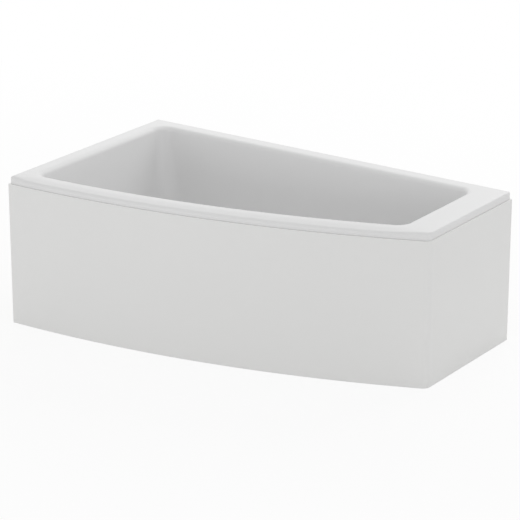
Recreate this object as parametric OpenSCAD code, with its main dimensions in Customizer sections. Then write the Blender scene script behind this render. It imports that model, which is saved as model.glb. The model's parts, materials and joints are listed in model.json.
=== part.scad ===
// Asymmetric built-in bathtub: a wide end and a narrow end, one straight wall side and one bowed side,
// with a one-piece apron, a leg set and a pop-up waste with overflow.
// X runs from the wide end to the narrow end, +Y points to the back wall, +Z is up, z = 0 is the floor.

/* [Rim] */
// Length of the rim along the back wall
rim_len = 1600; // [1500:5:1750]
// Width of the rim at the wide end
wide_w = 900; // [840:5:960]
// Width of the rim at the narrow end
narrow_w = 560; // [520:5:620]
// Radius of the bowed front edge of the rim
bow_r = 4065; // [3800:5:6000]
// Height of the rim above the floor
rim_h = 579; // [560:1:620]
// Height of the lip that hangs from the rim's outer edge
lip_h = 29; // [24:1:34]
// Radius of the free front corner of the rim, at the narrow end
free_corner_r = 27; // [15:1:40]
// Radius of the rim corners that meet a wall
wall_corner_r = 4; // [2:0.5:8]
// Radius of the rim's outer top edge
edge_r = 2.5; // [1:0.5:4]

/* [Deck] */
// Flat width of the deck at the wide end
deck_left = 50; // [45:1:60]
// Flat width of the deck along the bowed front
deck_front = 57; // [52:1:66]
// Flat width of the deck at the narrow end
deck_right = 106; // [95:1:125]
// Flat width of the deck along the back wall
deck_back = 49; // [45:1:60]
// How far the front deck falls from the basin to its outer edge
front_fall = 2; // [0:0.5:4]
// How far the other three decks fall
side_fall = 0.5; // [0:0.25:1.5]

/* [Basin] */
// Depth of the basin at the waste, measured from the rim
basin_depth = 430; // [400:5:440]
// Radius of the roll from the deck into the basin
roll_r = 17; // [14:0.5:22]
// Slope of the wide end's wall from the vertical, degrees
draft_left = 11; // [8:0.5:14]
// Slope of the front wall, degrees
draft_front = 8; // [6:0.5:10]
// Slope of the narrow end's wall, degrees
draft_right = 12; // [8:0.5:14]
// Slope of the back wall, degrees
draft_back = 7; // [5:0.5:9]
// Radius of the basin's upright corners just under the roll
corner_r = 60; // [45:1:80]
// Radius of the basin's upright corners where they reach the floor round
floor_corner_r = 95; // [85:1:110]
// Radius between the walls and the floor
basin_r = 60; // [45:1:70]
// Fall of the floor towards the waste, millimetres in each metre
floor_fall = 8; // [0:1:12]

/* [Sheets] */
// Thickness of the tub's acrylic sheet
acrylic_t = 5; // [4:0.5:6]
// Thickness of the glass fibre backing
grp_t = 3; // [2:0.5:4]
// Thickness of the apron's sheet
apron_t = 4; // [3:0.5:5]

/* [Apron] */
// How far the apron stands proud of the rim
proud = 6; // [4:0.5:8]
// Width of the sealing joint between the rim and the back wall
back_joint = 4; // [3:0.5:6]
// Height of the shadow gap between the apron and the rim's lip
shadow_gap = 2; // [1.5:0.5:4]
// Outer radius of the apron's free corner
apron_corner_r = 30; // [20:1:40]
// Width of the apron's inward flange at the top
top_flange_w = 34; // [30:1:38]
// Width of the apron's inward flange at the bottom and at its wall ends
foot_flange_w = 26; // [20:1:34]

/* [Timber] */
// Thickness of the base board
board_t = 16; // [12:1:19]
// Thickness of the battens under the rim
batten_t = 15; // [12:1:16]

/* [Legs] */
// Distance of the wide end's leg channel from the rim's wide end
wide_leg_in = 330; // [280:5:380]
// Distance of the narrow end's leg channel from the rim's narrow end
narrow_leg_in = 480; // [460:5:520]
// Width of a leg channel
channel_w = 40; // [36:1:46]
// Depth of a leg channel
channel_h = 25; // [20:1:28]
// Thickness of a leg channel's steel
channel_t = 2; // [1.5:0.5:3]
// Distance of the rear feet from the rim's back edge
rear_foot_in = 85; // [80:1:88]
// Distance of the front feet from the rim's bowed edge
front_foot_in = 95; // [88:1:100]
// Diameter of a foot's threaded stud
stud_d = 12; // [10:1:14]
// Top of the studs above the floor
stud_top = 165; // [160:1:172]
// Diameter of a foot pad
pad_d = 56; // [48:1:66]

/* [Waste and overflow] */
// Distance of the waste from the rim's narrow end
drain_in = 310; // [300:2:330]
// Distance of the waste and the overflow from the rim's back edge
drain_back = 300; // [280:5:310]
// Diameter of the hole in the basin for the waste
drain_hole_d = 52; // [50:0.5:54]
// Depth of the overflow's centre under the rim
overflow_down = 95; // [85:1:105]
// Outer diameter of the overflow pipe
overflow_pipe_d = 32; // [30:1:34]
// Outer diameter of the outlet pipe
outlet_d = 40; // [38:1:42]
// Diameter of the overflow's turning knob
knob_d = 68; // [60:1:72]
// Diameter of the control cable's sheath
cable_d = 5; // [4:0.5:6]

/* [Hidden] */

$fn = 96;

// Radial clearance of turning, sliding and screwed pieces
fit = 0.05;
// Gap between pieces that lie on each other
seat = 0.3;
// Radial gap round screws and studs that pass freely through a sheet
loose = 0.5;
// Gap that a pushed-in piece keeps to its stop
push_gap = 2;
// Overlap that lets a cut run clear through a face
past = 1;
// Radius of a corner that counts as sharp
sharp = 0.5;

// Segments of the faceted sheets
corner_steps = 8;
bow_steps = 20;
side_steps = 4;
roll_steps = 6;
floor_steps = 8;

// Plan of the rim, with the bow as a circle through both front corners
half_chord = norm([rim_len, wide_w - narrow_w]) / 2;
bow_rise = sqrt(bow_r * bow_r - half_chord * half_chord);
bow_x = -bow_rise * (wide_w - narrow_w) / (2 * half_chord);
bow_back = bow_rise * rim_len / (2 * half_chord) - (wide_w + narrow_w) / 2;
rim_left = -rim_len / 2;
rim_right = rim_len / 2;
apron_reach = sqrt(pow(bow_r + proud, 2) - pow(rim_left - proud - bow_x, 2)) - bow_back;
rim_back = (apron_reach - back_joint) / 2;
bow_y = rim_back + bow_back;
wall_y = rim_back + back_joint;

// Order of the four sides in every list of four: left, front, right, back
deck = [deck_left, deck_front, deck_right, deck_back];
draft = [draft_left, draft_front, draft_right, draft_back];
fall = [side_fall, front_fall, side_fall, side_fall];
rim_corners = [wall_corner_r, free_corner_r, wall_corner_r, wall_corner_r];
mean_draft = (draft_left + draft_front + draft_right + draft_back) / 4;
lip_z = rim_h - lip_h;
apron_h = lip_z - shadow_gap;
floor_z = rim_h - basin_depth;

// Backing, clear of the lip and of the overflow
lip_gap = 2;
overflow_window = 14;
backing_in = acrylic_t + seat;
backing_out = backing_in + grp_t;
backing_edge = acrylic_t + lip_gap;

// Timber under the rim and under the floor
batten_gap = 3;
batten_edge = acrylic_t + batten_gap;
batten_top = rim_h - backing_out - front_fall - seat;
batten_z = batten_top - batten_t;
batten_w = deck_back - batten_edge - batten_gap;
front_batten_w = deck_front - batten_edge - batten_gap;
deck_board_w = deck_right - batten_edge - batten_gap;
board_left_in = 215;
board_right_in = 420;
board_back_in = 190;
board_front_in = 205;
board_screw_in = 30;
board_top = floor_z - backing_out - seat;

// Legs
wide_leg_x = rim_left + wide_leg_in;
narrow_leg_x = rim_right - narrow_leg_in;
leg_x = [wide_leg_x, wide_leg_x, narrow_leg_x, narrow_leg_x];
channel_end_in = 30;
stud_r = stud_d / 2;
nut_h = stud_d * 0.8;
nut_af = stud_d * 1.5 + 1;
pad_h = 10;
pad_wall = 5;
pad_boss_r = stud_r + pad_wall;
pad_boss_top = 26;
stud_foot = 6;
collar_z = 30;
collar_h = 8;

// Screws
screw_r = 2.5;
screw_head_r = 5;
screw_head_h = 3;
screw_grip = 12;
screw_tail = 2;

// Apron clips along the bow and along the narrow end
clip_w = 30;
clip_t = 1.5;
clip_foot = 16;
clip_grip = 10;
clip_first = 150;
clip_pitch = 550;
end_clip_first = 120;
end_clip_pitch = 300;
clip_x = [for (i = [0:2]) rim_left + clip_first + i * clip_pitch];
clip_y = [for (i = [0:1]) rim_back - end_clip_first - i * end_clip_pitch];
clip_back = top_flange_w - proud + seat;
clip_screw_in = clip_back + clip_foot / 2;
clip_leg = batten_z - apron_h + apron_t + seat;

// Brackets on the leg channels and on the walls
bracket_t = 3;
bracket_w = 25;
wall_bracket_w = 40;
wall_bracket_t = 2;
wall_bracket_h = 60;
wall_hook_h = 8;
wall_hole_r = 3;
wall_hole_up = 15;
wall_hole_pitch = 30;
wall_bracket_first = 350;
wall_bracket_pitch = 800;
wall_bracket_side = 450;
wall_bracket_x = [for (i = [0:1]) rim_left + wall_bracket_first + i * wall_bracket_pitch];
wall_bracket_y = rim_back - wall_bracket_side;

// Waste flange in its recess, with the guide of the plug's stem
drain_x = rim_right - drain_in;
drain_y = rim_back - drain_back;
drain_r = drain_hole_d / 2;
flange_w = 9;
flange_t = 2;
flange_r = drain_r + flange_w;
recess_gap = 4;
recess_depth = 3;
recess_r = flange_r + recess_gap;
recess_z = floor_z - recess_depth;
upper_seal_t = 1.5;
lower_seal_t = 4;
seal_margin = 1;
flange_z = recess_z + upper_seal_t;
flange_top = flange_z + flange_t;
throat_gap = 4;
throat_wall = 2;
throat_h = 30;
throat_r = drain_r - throat_gap;
throat_in = throat_r - throat_wall;
guide_drop = 18;
guide_h = 10;
guide_wall = 3;
spoke_w = 3;
spoke_h = 5;

// Plug
plug_margin = 5;
plug_rise = 5;
plug_edge = 2;
plug_r = flange_r - plug_margin;
stem_r = 4;
stem_len = 30;
hub_h = 6;
seal_r = throat_in - seat;
seal_w = 3;
seal_t = 4;
seal_drop = 5;
pin_r = 3;

// Waste body under the floor
lower_seal_z = recess_z - acrylic_t - lower_seal_t;
waste_top = lower_seal_z;
waste_flange_t = 4;
cup_gap = 8;
cup_wall = 3;
cup_roof = 17;
cup_h = 52;
cup_r = throat_r + cup_gap;
cup_z = waste_top - cup_h;
inlet_drop = 29;
inlet_out = 34;
inlet_z = waste_top - inlet_drop;
pipe_stop = 4;
socket_wall = 3;
gland_wall = 3;
gland_len = 12;
pin_guide_h = 24;
pin_guide_wall = 2.5;
pin_foot = 4;
outlet_r = outlet_d / 2;
outlet_wall = 2.2;
spigot_h = 19;

// Trap
trap_r = 40;
trap_wall = 3;
trap_gap = 17;
trap_h = 60;
trap_cup_h = 12;
trap_lid = cup_z - trap_gap;
trap_foot = trap_lid - trap_h;
trap_out_up = 36;
trap_out_z = trap_foot + trap_out_up;
trap_out_len = 24;
dip_up = 22;
union_h = 13;
union_wall = 5;
union_gap = 1;
outlet_short = 20;
outlet_nut_end = trap_r + trap_out_len + union_gap;
mark_gap = 2;
mark_w = 2;
mark_deep = 0.5;

// Overflow, on a frame whose +Z points into the basin, square to the narrow end's wall
overflow_z = rim_h - overflow_down;
overflow_tilt = draft_right - 90;
overflow_hole_r = drain_r;
gasket_t = 3;
gasket_margin = 8;
gasket_back = -acrylic_t - seat - gasket_t;
barrel_r = 23;
barrel_len = 58;
barrel_wall = 2.5;
barrel_short = 1;
barrel_back = -acrylic_t - barrel_len;
neck_len = 52;
neck_socket = 24;
gland_h = 24;
gland_deep = 15;
cable_in = 12;
bearing_len = 14;
bearing_wall = 3;

// Overflow's rose and knob
rose_r = knob_d / 2;
rose_t = 3;
rose_edge = 1;
rose_collar = 14;
rose_wall = 3;
rose_holes = 12;
rose_hole_r = 2;
rose_hole_in = 7;
rose_hole_deep = 2;
knob_gap = 7;
knob_depth = 12;
knob_wall = 3;
knob_grips = 24;
grip_r = 1.8;
grip_out = 1;
spindle_r = 5;
spindle_in_knob = 10;
cam_r = 14;
cam_t = 5;
cam_up = 16;

// Overflow pipe and control cable
pipe_r = overflow_pipe_d / 2;
pipe_wall = 2;
pipe_bend = 60;
pipe_drop = 45;
pipe_in = 20;
pipe_nut_h = 14;
pipe_nut_wall = 3;
pipe_nut_lip = 2;
cable_r = cable_d / 2;
cable_gap = 9.5;
cable_side = pipe_r + cable_r + cable_gap;
cable_clip_h = 8;
cable_clip_t = 2.5;
cable_web = 4;

function lerp(a, b, t) = a + (b - a) * t;

// Front edge of the outline that lies a given inset inside the rim
function front_y(x, inset) = bow_y - sqrt(pow(bow_r - inset, 2) - pow(x - bow_x, 2));
// Turn of a piece that faces the bow, 0 where the bow runs along X
function bow_turn(x, inset) = atan2(front_y(x, inset) - bow_y, x - bow_x) + 90;

// Centre of a corner round that touches an end line and the bow from inside
function bow_corner(x_line, side, inset, r) =
    let (x = x_line - side * r) [x, bow_y - sqrt(pow(bow_r - inset - r, 2) - pow(x - bow_x, 2))];

// Points of an arc, each with a height that runs from z0 to z1
function arc(c, r, a0, a1, z0, z1, steps) =
    [for (i = [0:steps]) let (t = i / steps, a = lerp(a0, a1, t))
        [c.x + r * cos(a), c.y + r * sin(a), lerp(z0, z1, t)]];
// Points between two ends, without the ends
function run(p, q, z, steps) =
    [for (i = [1:steps - 1]) let (t = i / steps) [lerp(p.x, q.x, t), lerp(p.y, q.y, t), z]];

// Closed loop round the plan: d = insets, z = heights, r = radii of the corners
// front left, front right, back right and back left
function ring(d, z, r) =
    let (
        xl = rim_left + d[0], xr = rim_right - d[2], yb = rim_back - d[3],
        c0 = bow_corner(xl, -1, d[1], r[0]), c1 = bow_corner(xr, 1, d[1], r[1]),
        a0 = atan2(c0.y - bow_y, c0.x - bow_x), a1 = atan2(c1.y - bow_y, c1.x - bow_x),
        c2 = [xr - r[2], yb - r[2]], c3 = [xl + r[3], yb - r[3]],
        front_left = arc(c0, r[0], 180, 360 + a0, z[0], z[1], corner_steps),
        bow = [for (i = [1:bow_steps - 1]) let (a = lerp(a0, a1, i / bow_steps))
            [bow_x + (bow_r - d[1]) * cos(a), bow_y + (bow_r - d[1]) * sin(a), z[1]]],
        front_right = arc(c1, r[1], a1, 0, z[1], z[2], corner_steps),
        right = run([xr, c1.y], [xr, c2.y], z[2], side_steps),
        back_right = arc(c2, r[2], 0, 90, z[2], z[3], corner_steps),
        back = run([c2.x, yb], [c3.x, yb], z[3], side_steps),
        back_left = arc(c3, r[3], 90, 180, z[3], z[0], corner_steps),
        left = run([xl, c3.y], [xl, c0.y], z[0], side_steps)
    ) concat(front_left, bow, front_right, right, back_right, back, back_left, left);

// The same loop as a flat outline
function outline(d, r) = [for (p = ring(d, [0, 0, 0, 0], r)) [p.x, p.y]];

// Height that the fall of the floor adds at a point
function floor_lift(x) = (drain_x - x) * floor_fall / 1000;
function lifted(points) = [for (p = points) [p.x, p.y, p.z + floor_lift(p.x)]];

// Inset of a basin wall at a height, on the inner face
function wall_inset(side, z) =
    deck[side] + roll_r * cos(draft[side])
        + (rim_h - roll_r + roll_r * sin(draft[side]) - z) * tan(draft[side]);

// One loop of the roll at a share of its turn, offset outwards by t
function roll_ring(share, t) =
    let (
        a = [for (s = [0:3]) (90 - draft[s]) * share],
        grown = corner_r + roll_r - (roll_r - t) * sin((90 - mean_draft) * share)
    ) ring([for (s = [0:3]) deck[s] + (roll_r - t) * sin(a[s])],
        [for (s = [0:3]) rim_h - roll_r + (roll_r - t) * cos(a[s])],
        [grown, grown, grown, grown]);

// One loop of the floor round at a share of its turn, offset outwards by t
function floor_ring(share, t) =
    let (
        b = [for (s = [0:3]) lerp(draft[s], 90, share)],
        raised = [floor_lift(rim_left + wall_inset(0, floor_z)), 0,
            floor_lift(rim_right - wall_inset(2, floor_z)), 0],
        centre = [for (s = [0:3]) wall_inset(s, floor_z + basin_r + raised[s]) + basin_r / cos(draft[s])],
        grown = floor_corner_r + (basin_r + t) * cos(lerp(mean_draft, 90, share)) - basin_r * cos(mean_draft)
    ) lifted(ring([for (s = [0:3]) centre[s] - (basin_r + t) * cos(b[s])],
        [for (s = [0:3]) floor_z + basin_r - (basin_r + t) * sin(b[s])],
        [grown, grown, grown, grown]));

// The basin's surface from the deck to the floor, offset outwards by t
function basin_rings(t) = concat(
    [for (i = [0:roll_steps]) roll_ring(i / roll_steps, t)],
    [for (i = [0:floor_steps]) floor_ring(i / floor_steps, t)]);

function reversed(list) = [for (i = [len(list) - 1:-1:0]) list[i]];

// A loop round the rim at one inset, with every side z below the rim and its own fall
function rim_ring(inset, down, r) =
    ring([inset, inset, inset, inset], [for (s = [0:3]) rim_h - fall[s] - down], r);
function level_ring(inset, z, r) = ring([inset, inset, inset, inset], [z, z, z, z], r);
function corners_in(inset) = [for (c = rim_corners) max(c - inset, sharp)];

// Middle of a loop
function middle(points) =
    [for (axis = [0:2]) [for (p = points) p[axis]] * [for (p = points) 1] / len(points)];

// Solid between loops that follow each other, with a fan over its first and its last loop.
// Each quad is split from its lower corner, so that two sheets that follow each other stay parallel.
module skin(rings) {
    n = len(rings[0]);
    m = len(rings);
    points = concat([for (loop = rings) for (p = loop) p], [middle(rings[0]), middle(rings[m - 1])]);
    quads = [for (j = [0:m - 2]) for (i = [0:n - 1]) let (k = (i + 1) % n)
        [j * n + i, (j + 1) * n + i, (j + 1) * n + k, j * n + k]];
    sides = [for (q = quads) each points[q[0]].z < points[q[1]].z
        ? [[q[0], q[1], q[2]], [q[0], q[2], q[3]]]
        : [[q[0], q[1], q[3]], [q[1], q[2], q[3]]]];
    first = [for (i = [0:n - 1]) [m * n, i, (i + 1) % n]];
    last = [for (i = [0:n - 1]) [m * n + 1, (m - 1) * n + (i + 1) % n, (m - 1) * n + i]];
    polyhedron(points, concat(first, sides, last));
}

module ring_solid(r_out, r_in, h) {
    difference() {
        cylinder(h = h, r = r_out);
        translate([0, 0, -past]) cylinder(h = h + 2 * past, r = r_in);
    }
}

// Places on the axis of the waste, and on that of the overflow
module at_drain(z) {
    translate([drain_x, drain_y, z]) children();
}

module at_overflow(z) {
    x = rim_right - wall_inset(2, overflow_z);
    translate([x, drain_y, overflow_z]) rotate([0, overflow_tilt, 0]) translate([0, 0, z]) children();
}

// Tub: one acrylic sheet formed into lip, deck, roll, basin and waste recess
module tub_shell() {
    half = edge_r * (1 - cos(45));
    color("white") difference() {
        union() {
            skin(concat(
                reversed(basin_rings(acrylic_t)),
                [rim_ring(acrylic_t, acrylic_t, corners_in(acrylic_t)),
                    level_ring(acrylic_t, lip_z, corners_in(acrylic_t)),
                    level_ring(0, lip_z, rim_corners),
                    rim_ring(0, edge_r, rim_corners),
                    rim_ring(half, half, corners_in(half)),
                    rim_ring(edge_r, 0, corners_in(edge_r))],
                basin_rings(0)));
            at_drain(recess_z - acrylic_t) cylinder(h = acrylic_t, r = recess_r + acrylic_t);
        }
        at_drain(recess_z) cylinder(h = basin_r, r = recess_r);
        at_drain(recess_z - 2 * acrylic_t) cylinder(h = basin_r, r = drain_r);
        at_overflow(-2 * acrylic_t) cylinder(h = 4 * acrylic_t, r = overflow_hole_r);
    }
}

// Backing: glass fibre laid on the sheet's underside
module grp_backing() {
    color("burlywood") difference() {
        skin(concat(
            reversed(basin_rings(backing_out)),
            [rim_ring(backing_edge, backing_out, corners_in(backing_edge)),
                rim_ring(backing_edge, backing_in, corners_in(backing_edge))],
            basin_rings(backing_in)));
        at_drain(0) cylinder(h = floor_z + basin_r, r = recess_r + acrylic_t + lip_gap);
        at_overflow(-4 * backing_out)
            cylinder(h = 6 * backing_out, r = overflow_hole_r + overflow_window);
    }
}

// Heights of the base board's underside and of a channel's web under it
function board_under(x) = board_top - board_t + floor_lift(x);
function channel_top(x) = board_under(x + channel_w / 2) - seat;
// Ends of a leg channel
function channel_front(x) = front_y(x, front_foot_in - channel_end_in);
function channel_back() = rim_back - rear_foot_in + channel_end_in;
// Places of a channel's four screws along it
function screw_y(x) =
    let (
        rear = rim_back - board_back_in - board_screw_in,
        front = front_y(x, board_front_in + board_screw_in)
    ) [for (i = [0:3]) lerp(rear, front, i / 3)];

// Screw with its head below and its shank upwards
module screw(grip) {
    translate([0, 0, -screw_head_h]) cylinder(h = screw_head_h, r = screw_head_r);
    cylinder(h = grip, r = screw_r);
}

// Base board: chipboard bonded under the floor, parallel to it
module base_board() {
    x0 = rim_left + board_left_in;
    x1 = rim_right - board_right_in;
    front = [for (i = [0:bow_steps]) let (x = lerp(x0, x1, i / bow_steps))
        [x - drain_x, front_y(x, board_front_in)]];
    back = rim_back - board_back_in;
    color("tan") difference() {
        translate([drain_x, 0, board_top]) rotate([0, atan(floor_fall / 1000), 0]) translate([0, 0, -board_t])
            linear_extrude(board_t) polygon(concat(front, [[x1 - drain_x, back], [x0 - drain_x, back]]));
        for (x = [wide_leg_x, narrow_leg_x], y = screw_y(x))
            translate([x, y, channel_top(x) - past]) cylinder(h = screw_grip + 2 * past, r = screw_r + fit);
    }
}

// Battens: timber strips bonded under the deck, with holes for the clips' screws
module batten_holes(places) {
    for (p = places) translate([p.x, p.y, batten_z - past])
        cylinder(h = screw_grip + 2 * past, r = screw_r + fit);
}

module back_batten() {
    color("peru") translate([rim_left + batten_edge, rim_back - batten_edge - batten_w, batten_z])
        cube([rim_len - 2 * batten_edge, batten_w, batten_t]);
}

module left_batten() {
    side = rim_back - batten_edge - batten_w - seat;
    front = front_y(rim_left + batten_edge + batten_w, batten_edge) + seat;
    color("peru") translate([rim_left + batten_edge, front, batten_z])
        cube([batten_w, side - front, batten_t]);
}

module front_batten() {
    x0 = rim_left + batten_edge + batten_w + seat;
    x1 = rim_right - batten_edge - deck_board_w - seat;
    outer = [for (i = [0:bow_steps]) let (x = lerp(x0, x1, i / bow_steps)) [x, front_y(x, batten_edge)]];
    inner = [for (p = reversed(outer)) [p.x, front_y(p.x, batten_edge + front_batten_w)]];
    color("peru") difference() {
        translate([0, 0, batten_z]) linear_extrude(batten_t) polygon(concat(outer, inner));
        batten_holes(front_clip_screws());
    }
}

// Deck board: the wide strip under the narrow end's deck
module deck_board() {
    side = rim_back - batten_edge - batten_w - seat;
    x0 = rim_right - batten_edge - deck_board_w;
    x1 = rim_right - batten_edge;
    nose = x1 - free_corner_r;
    plan = [[x0, side], [x0, front_y(x0, batten_edge)], [nose, front_y(nose, batten_edge)],
        [x1, front_y(nose, batten_edge) + free_corner_r], [x1, side]];
    color("peru") difference() {
        translate([0, 0, batten_z]) linear_extrude(batten_t) polygon(plan);
        batten_holes(end_clip_screws());
    }
}

// Leg channels: pressed steel, open downwards, screwed to the base board
module leg_channel(x) {
    y0 = channel_front(x);
    len_y = channel_back() - y0;
    translate([x, 0, channel_top(x)]) difference() {
        translate([-channel_w / 2, y0, -channel_h]) cube([channel_w, len_y, channel_h]);
        translate([channel_t - channel_w / 2, y0 - past, -channel_h - past])
            cube([channel_w - 2 * channel_t, len_y + 2 * past, channel_h - channel_t + past]);
        for (y = screw_y(x)) translate([0, y, -channel_h])
            cylinder(h = channel_h + past, r = screw_r + loose);
        for (y = [rim_back - rear_foot_in, front_y(x, front_foot_in)])
            translate([0, y, -channel_h]) cylinder(h = channel_h + past, r = stud_r + loose);
        translate([0, channel_front(x) + bracket_w / 2, -channel_h / 2]) rotate([0, 90, 0])
            cylinder(h = channel_w, r = screw_r + fit);
    }
}

module wide_end_channel() {
    color("silver") leg_channel(wide_leg_x);
}

module narrow_end_channel() {
    color("silver") leg_channel(narrow_leg_x);
}

module channel_screws() {
    color("gray") for (x = [wide_leg_x, narrow_leg_x], y = screw_y(x))
        translate([x, y, channel_top(x) - channel_t]) screw(channel_t + screw_grip);
}

// Feet: threaded studs through two nuts each, with a collar for the spanner and a plastic pad
function foot_y(i) = i % 2 == 0 ? rim_back - rear_foot_in : front_y(leg_x[i], front_foot_in);

module at_foot(i, z) {
    translate([leg_x[i], foot_y(i), z]) children();
}

module nut() {
    difference() {
        cylinder(h = nut_h, d = nut_af / cos(30), $fn = 6);
        translate([0, 0, -past]) cylinder(h = nut_h + 2 * past, r = stud_r + fit);
    }
}

module weld_nuts() {
    color("silver") for (i = [0:3]) at_foot(i, channel_top(leg_x[i]) - channel_t - nut_h) nut();
}

module lock_nuts() {
    color("silver") for (i = [0:3]) at_foot(i, channel_top(leg_x[i])) nut();
}

module foot_stud(i) {
    color("silver") at_foot(i, 0) {
        translate([0, 0, stud_foot + seat]) cylinder(h = stud_top - stud_foot - seat, r = stud_r);
        translate([0, 0, collar_z]) cylinder(h = collar_h, d = nut_af / cos(30), $fn = 6);
    }
}

module foot_pad(i) {
    color("dimgray") at_foot(i, 0) difference() {
        union() {
            cylinder(h = pad_h, d = pad_d);
            cylinder(h = pad_boss_top, r = pad_boss_r);
        }
        translate([0, 0, stud_foot]) cylinder(h = pad_boss_top, r = stud_r + fit);
    }
}

module foot_stud_1() { foot_stud(0); }
module foot_stud_2() { foot_stud(1); }
module foot_stud_3() { foot_stud(2); }
module foot_stud_4() { foot_stud(3); }
module foot_pad_1() { foot_pad(0); }
module foot_pad_2() { foot_pad(1); }
module foot_pad_3() { foot_pad(2); }
module foot_pad_4() { foot_pad(3); }

// Plan of the apron's outer face, moved inwards, and of the space inside a band of it
function apron_corners(inset) = [sharp, max(apron_corner_r - inset, sharp), sharp, sharp];
function apron_plan(inset) =
    outline([-proud, inset - proud, inset - proud, -back_joint], apron_corners(inset));
function apron_hollow(inset) =
    outline([-5 * proud, inset - proud, inset - proud, -5 * proud], apron_corners(inset));

module apron_band(inset) {
    difference() {
        polygon(apron_plan(0));
        polygon(apron_hollow(inset));
    }
}

// Apron: one sheet round the bowed front and the narrow end, with flanges all round
module apron() {
    color("white") {
        linear_extrude(apron_h) apron_band(apron_t);
        linear_extrude(apron_t) apron_band(foot_flange_w);
        translate([0, 0, apron_h - apron_t]) linear_extrude(apron_t) apron_band(top_flange_w);
        linear_extrude(apron_h) intersection() {
            apron_band(foot_flange_w);
            union() {
                translate([rim_left - proud, -wide_w]) square([apron_t, 2 * wide_w]);
                translate([0, wall_y - apron_t]) square([rim_len, apron_t]);
            }
        }
    }
}

// Frame on the bow at x, and on the narrow end at y, whose +Y points from the rim's edge inwards
module on_bow(x) {
    translate([x, front_y(x, 0), 0]) rotate([0, 0, bow_turn(x, 0)]) children();
}

module on_end(y) {
    translate([rim_right, y, 0]) rotate([0, 0, 90]) children();
}

// Apron clips: spring steel under the battens that grip the apron's top flange
module apron_clip() {
    top = batten_z - clip_t;
    difference() {
        translate([-clip_w / 2, clip_back, top]) cube([clip_w, clip_foot, clip_t]);
        translate([0, clip_screw_in, top - clip_t]) cylinder(h = 3 * clip_t, r = screw_r + fit);
    }
    translate([-clip_w / 2, clip_back, top - clip_leg]) cube([clip_w, clip_t, clip_leg + clip_t]);
    translate([-clip_w / 2, clip_back - clip_grip, top - clip_leg])
        cube([clip_w, clip_grip + clip_t, clip_t]);
}

module at_clips() {
    for (x = clip_x) on_bow(x) children();
    for (y = clip_y) on_end(y) children();
}

module apron_clips() {
    color("silver") at_clips() apron_clip();
}

module apron_clip_screws() {
    color("gray") at_clips() translate([0, clip_screw_in, batten_z - clip_t])
        screw(clip_t + screw_grip);
}

// Places of the clips' screws in plan
function bow_point(x, inset) =
    let (a = bow_turn(x, 0)) [x - inset * sin(a), front_y(x, 0) + inset * cos(a)];
function front_clip_screws() = [for (x = clip_x) bow_point(x, clip_screw_in)];
function end_clip_screws() = [for (y = clip_y) [rim_right - clip_screw_in, y]];

// Apron brackets: angles on the front ends of the leg channels, behind the foot of the apron
module apron_bracket(x) {
    side = x + channel_w / 2;
    face = apron_t - proud + seat;
    y_end = channel_front(x) + bracket_w;
    y_face = front_y(side, face) + bracket_t / 2;
    z_mid = channel_top(x) - channel_h / 2;
    difference() {
        translate([side, y_face, z_mid - bracket_w / 2]) cube([bracket_t, y_end - y_face, bracket_w]);
        translate([side - past, channel_front(x) + bracket_w / 2, z_mid]) rotate([0, 90, 0])
            cylinder(h = bracket_t + 2 * past, r = screw_r + fit);
    }
    translate([side, front_y(side, face), apron_t + seat]) rotate([0, 0, bow_turn(side, face)])
        cube([bracket_w, bracket_t, z_mid + bracket_w / 2 - apron_t - seat]);
}

module apron_brackets() {
    color("silver") for (x = [wide_leg_x, narrow_leg_x]) apron_bracket(x);
}

module apron_bracket_screws() {
    color("gray") for (x = [wide_leg_x, narrow_leg_x])
        translate([x + channel_w / 2 + bracket_t, channel_front(x) + bracket_w / 2, channel_top(x)])
            translate([0, 0, -channel_h / 2]) rotate([0, -90, 0]) screw(bracket_t + channel_t + screw_tail);
}

// Wall brackets: hooks on the walls that carry the rim's lip across the sealing joint
module wall_hook(joint) {
    hook_z = lip_z - seat - wall_bracket_t;
    reach = joint + acrylic_t + seat + wall_bracket_t;
    translate([-wall_bracket_w / 2, 0, lip_z - seat - wall_bracket_h]) difference() {
        cube([wall_bracket_w, wall_bracket_t, wall_bracket_h]);
        for (z = [wall_hole_up, wall_hole_up + wall_hole_pitch]) translate([wall_bracket_w / 2, -past, z])
            rotate([-90, 0, 0]) cylinder(h = wall_bracket_t + 2 * past, r = wall_hole_r);
    }
    translate([-wall_bracket_w / 2, 0, hook_z]) cube([wall_bracket_w, reach, wall_bracket_t]);
    translate([-wall_bracket_w / 2, reach - wall_bracket_t, hook_z])
        cube([wall_bracket_w, wall_bracket_t, wall_bracket_t + wall_hook_h]);
}

module wall_brackets() {
    color("silver") {
        for (x = wall_bracket_x) translate([x, wall_y, 0]) rotate([0, 0, 180]) wall_hook(back_joint);
        translate([rim_left - proud, wall_bracket_y, 0]) rotate([0, 0, -90]) wall_hook(proud);
    }
}

// Three spokes that hold a guide in a round opening
module spokes(r, w, h) {
    for (a = [0, 120, 240]) rotate([0, 0, a]) translate([0, -w / 2, 0]) cube([r, w, h]);
}

// Waste flange: collar in the recess, with the throat and the guide of the plug's stem
module drain_flange() {
    guide_z = flange_z - guide_drop;
    color("gainsboro") difference() {
        union() {
            at_drain(flange_z) ring_solid(flange_r, throat_in, flange_t);
            at_drain(flange_z - throat_h) ring_solid(throat_r, throat_in, throat_h + flange_t);
            at_drain(guide_z) spokes(throat_in + past, spoke_w, spoke_h);
            at_drain(guide_z) cylinder(h = guide_h, r = stem_r + guide_wall);
        }
        at_drain(guide_z - past) cylinder(h = guide_h + 2 * past, r = stem_r + fit);
    }
}

module drain_upper_seal() {
    color("dimgray") at_drain(recess_z)
        ring_solid(flange_r - seal_margin, drain_r + loose, upper_seal_t);
}

module drain_lower_seal() {
    color("dimgray") at_drain(lower_seal_z)
        ring_solid(flange_r + seal_margin, drain_r + loose, lower_seal_t);
}

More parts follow.
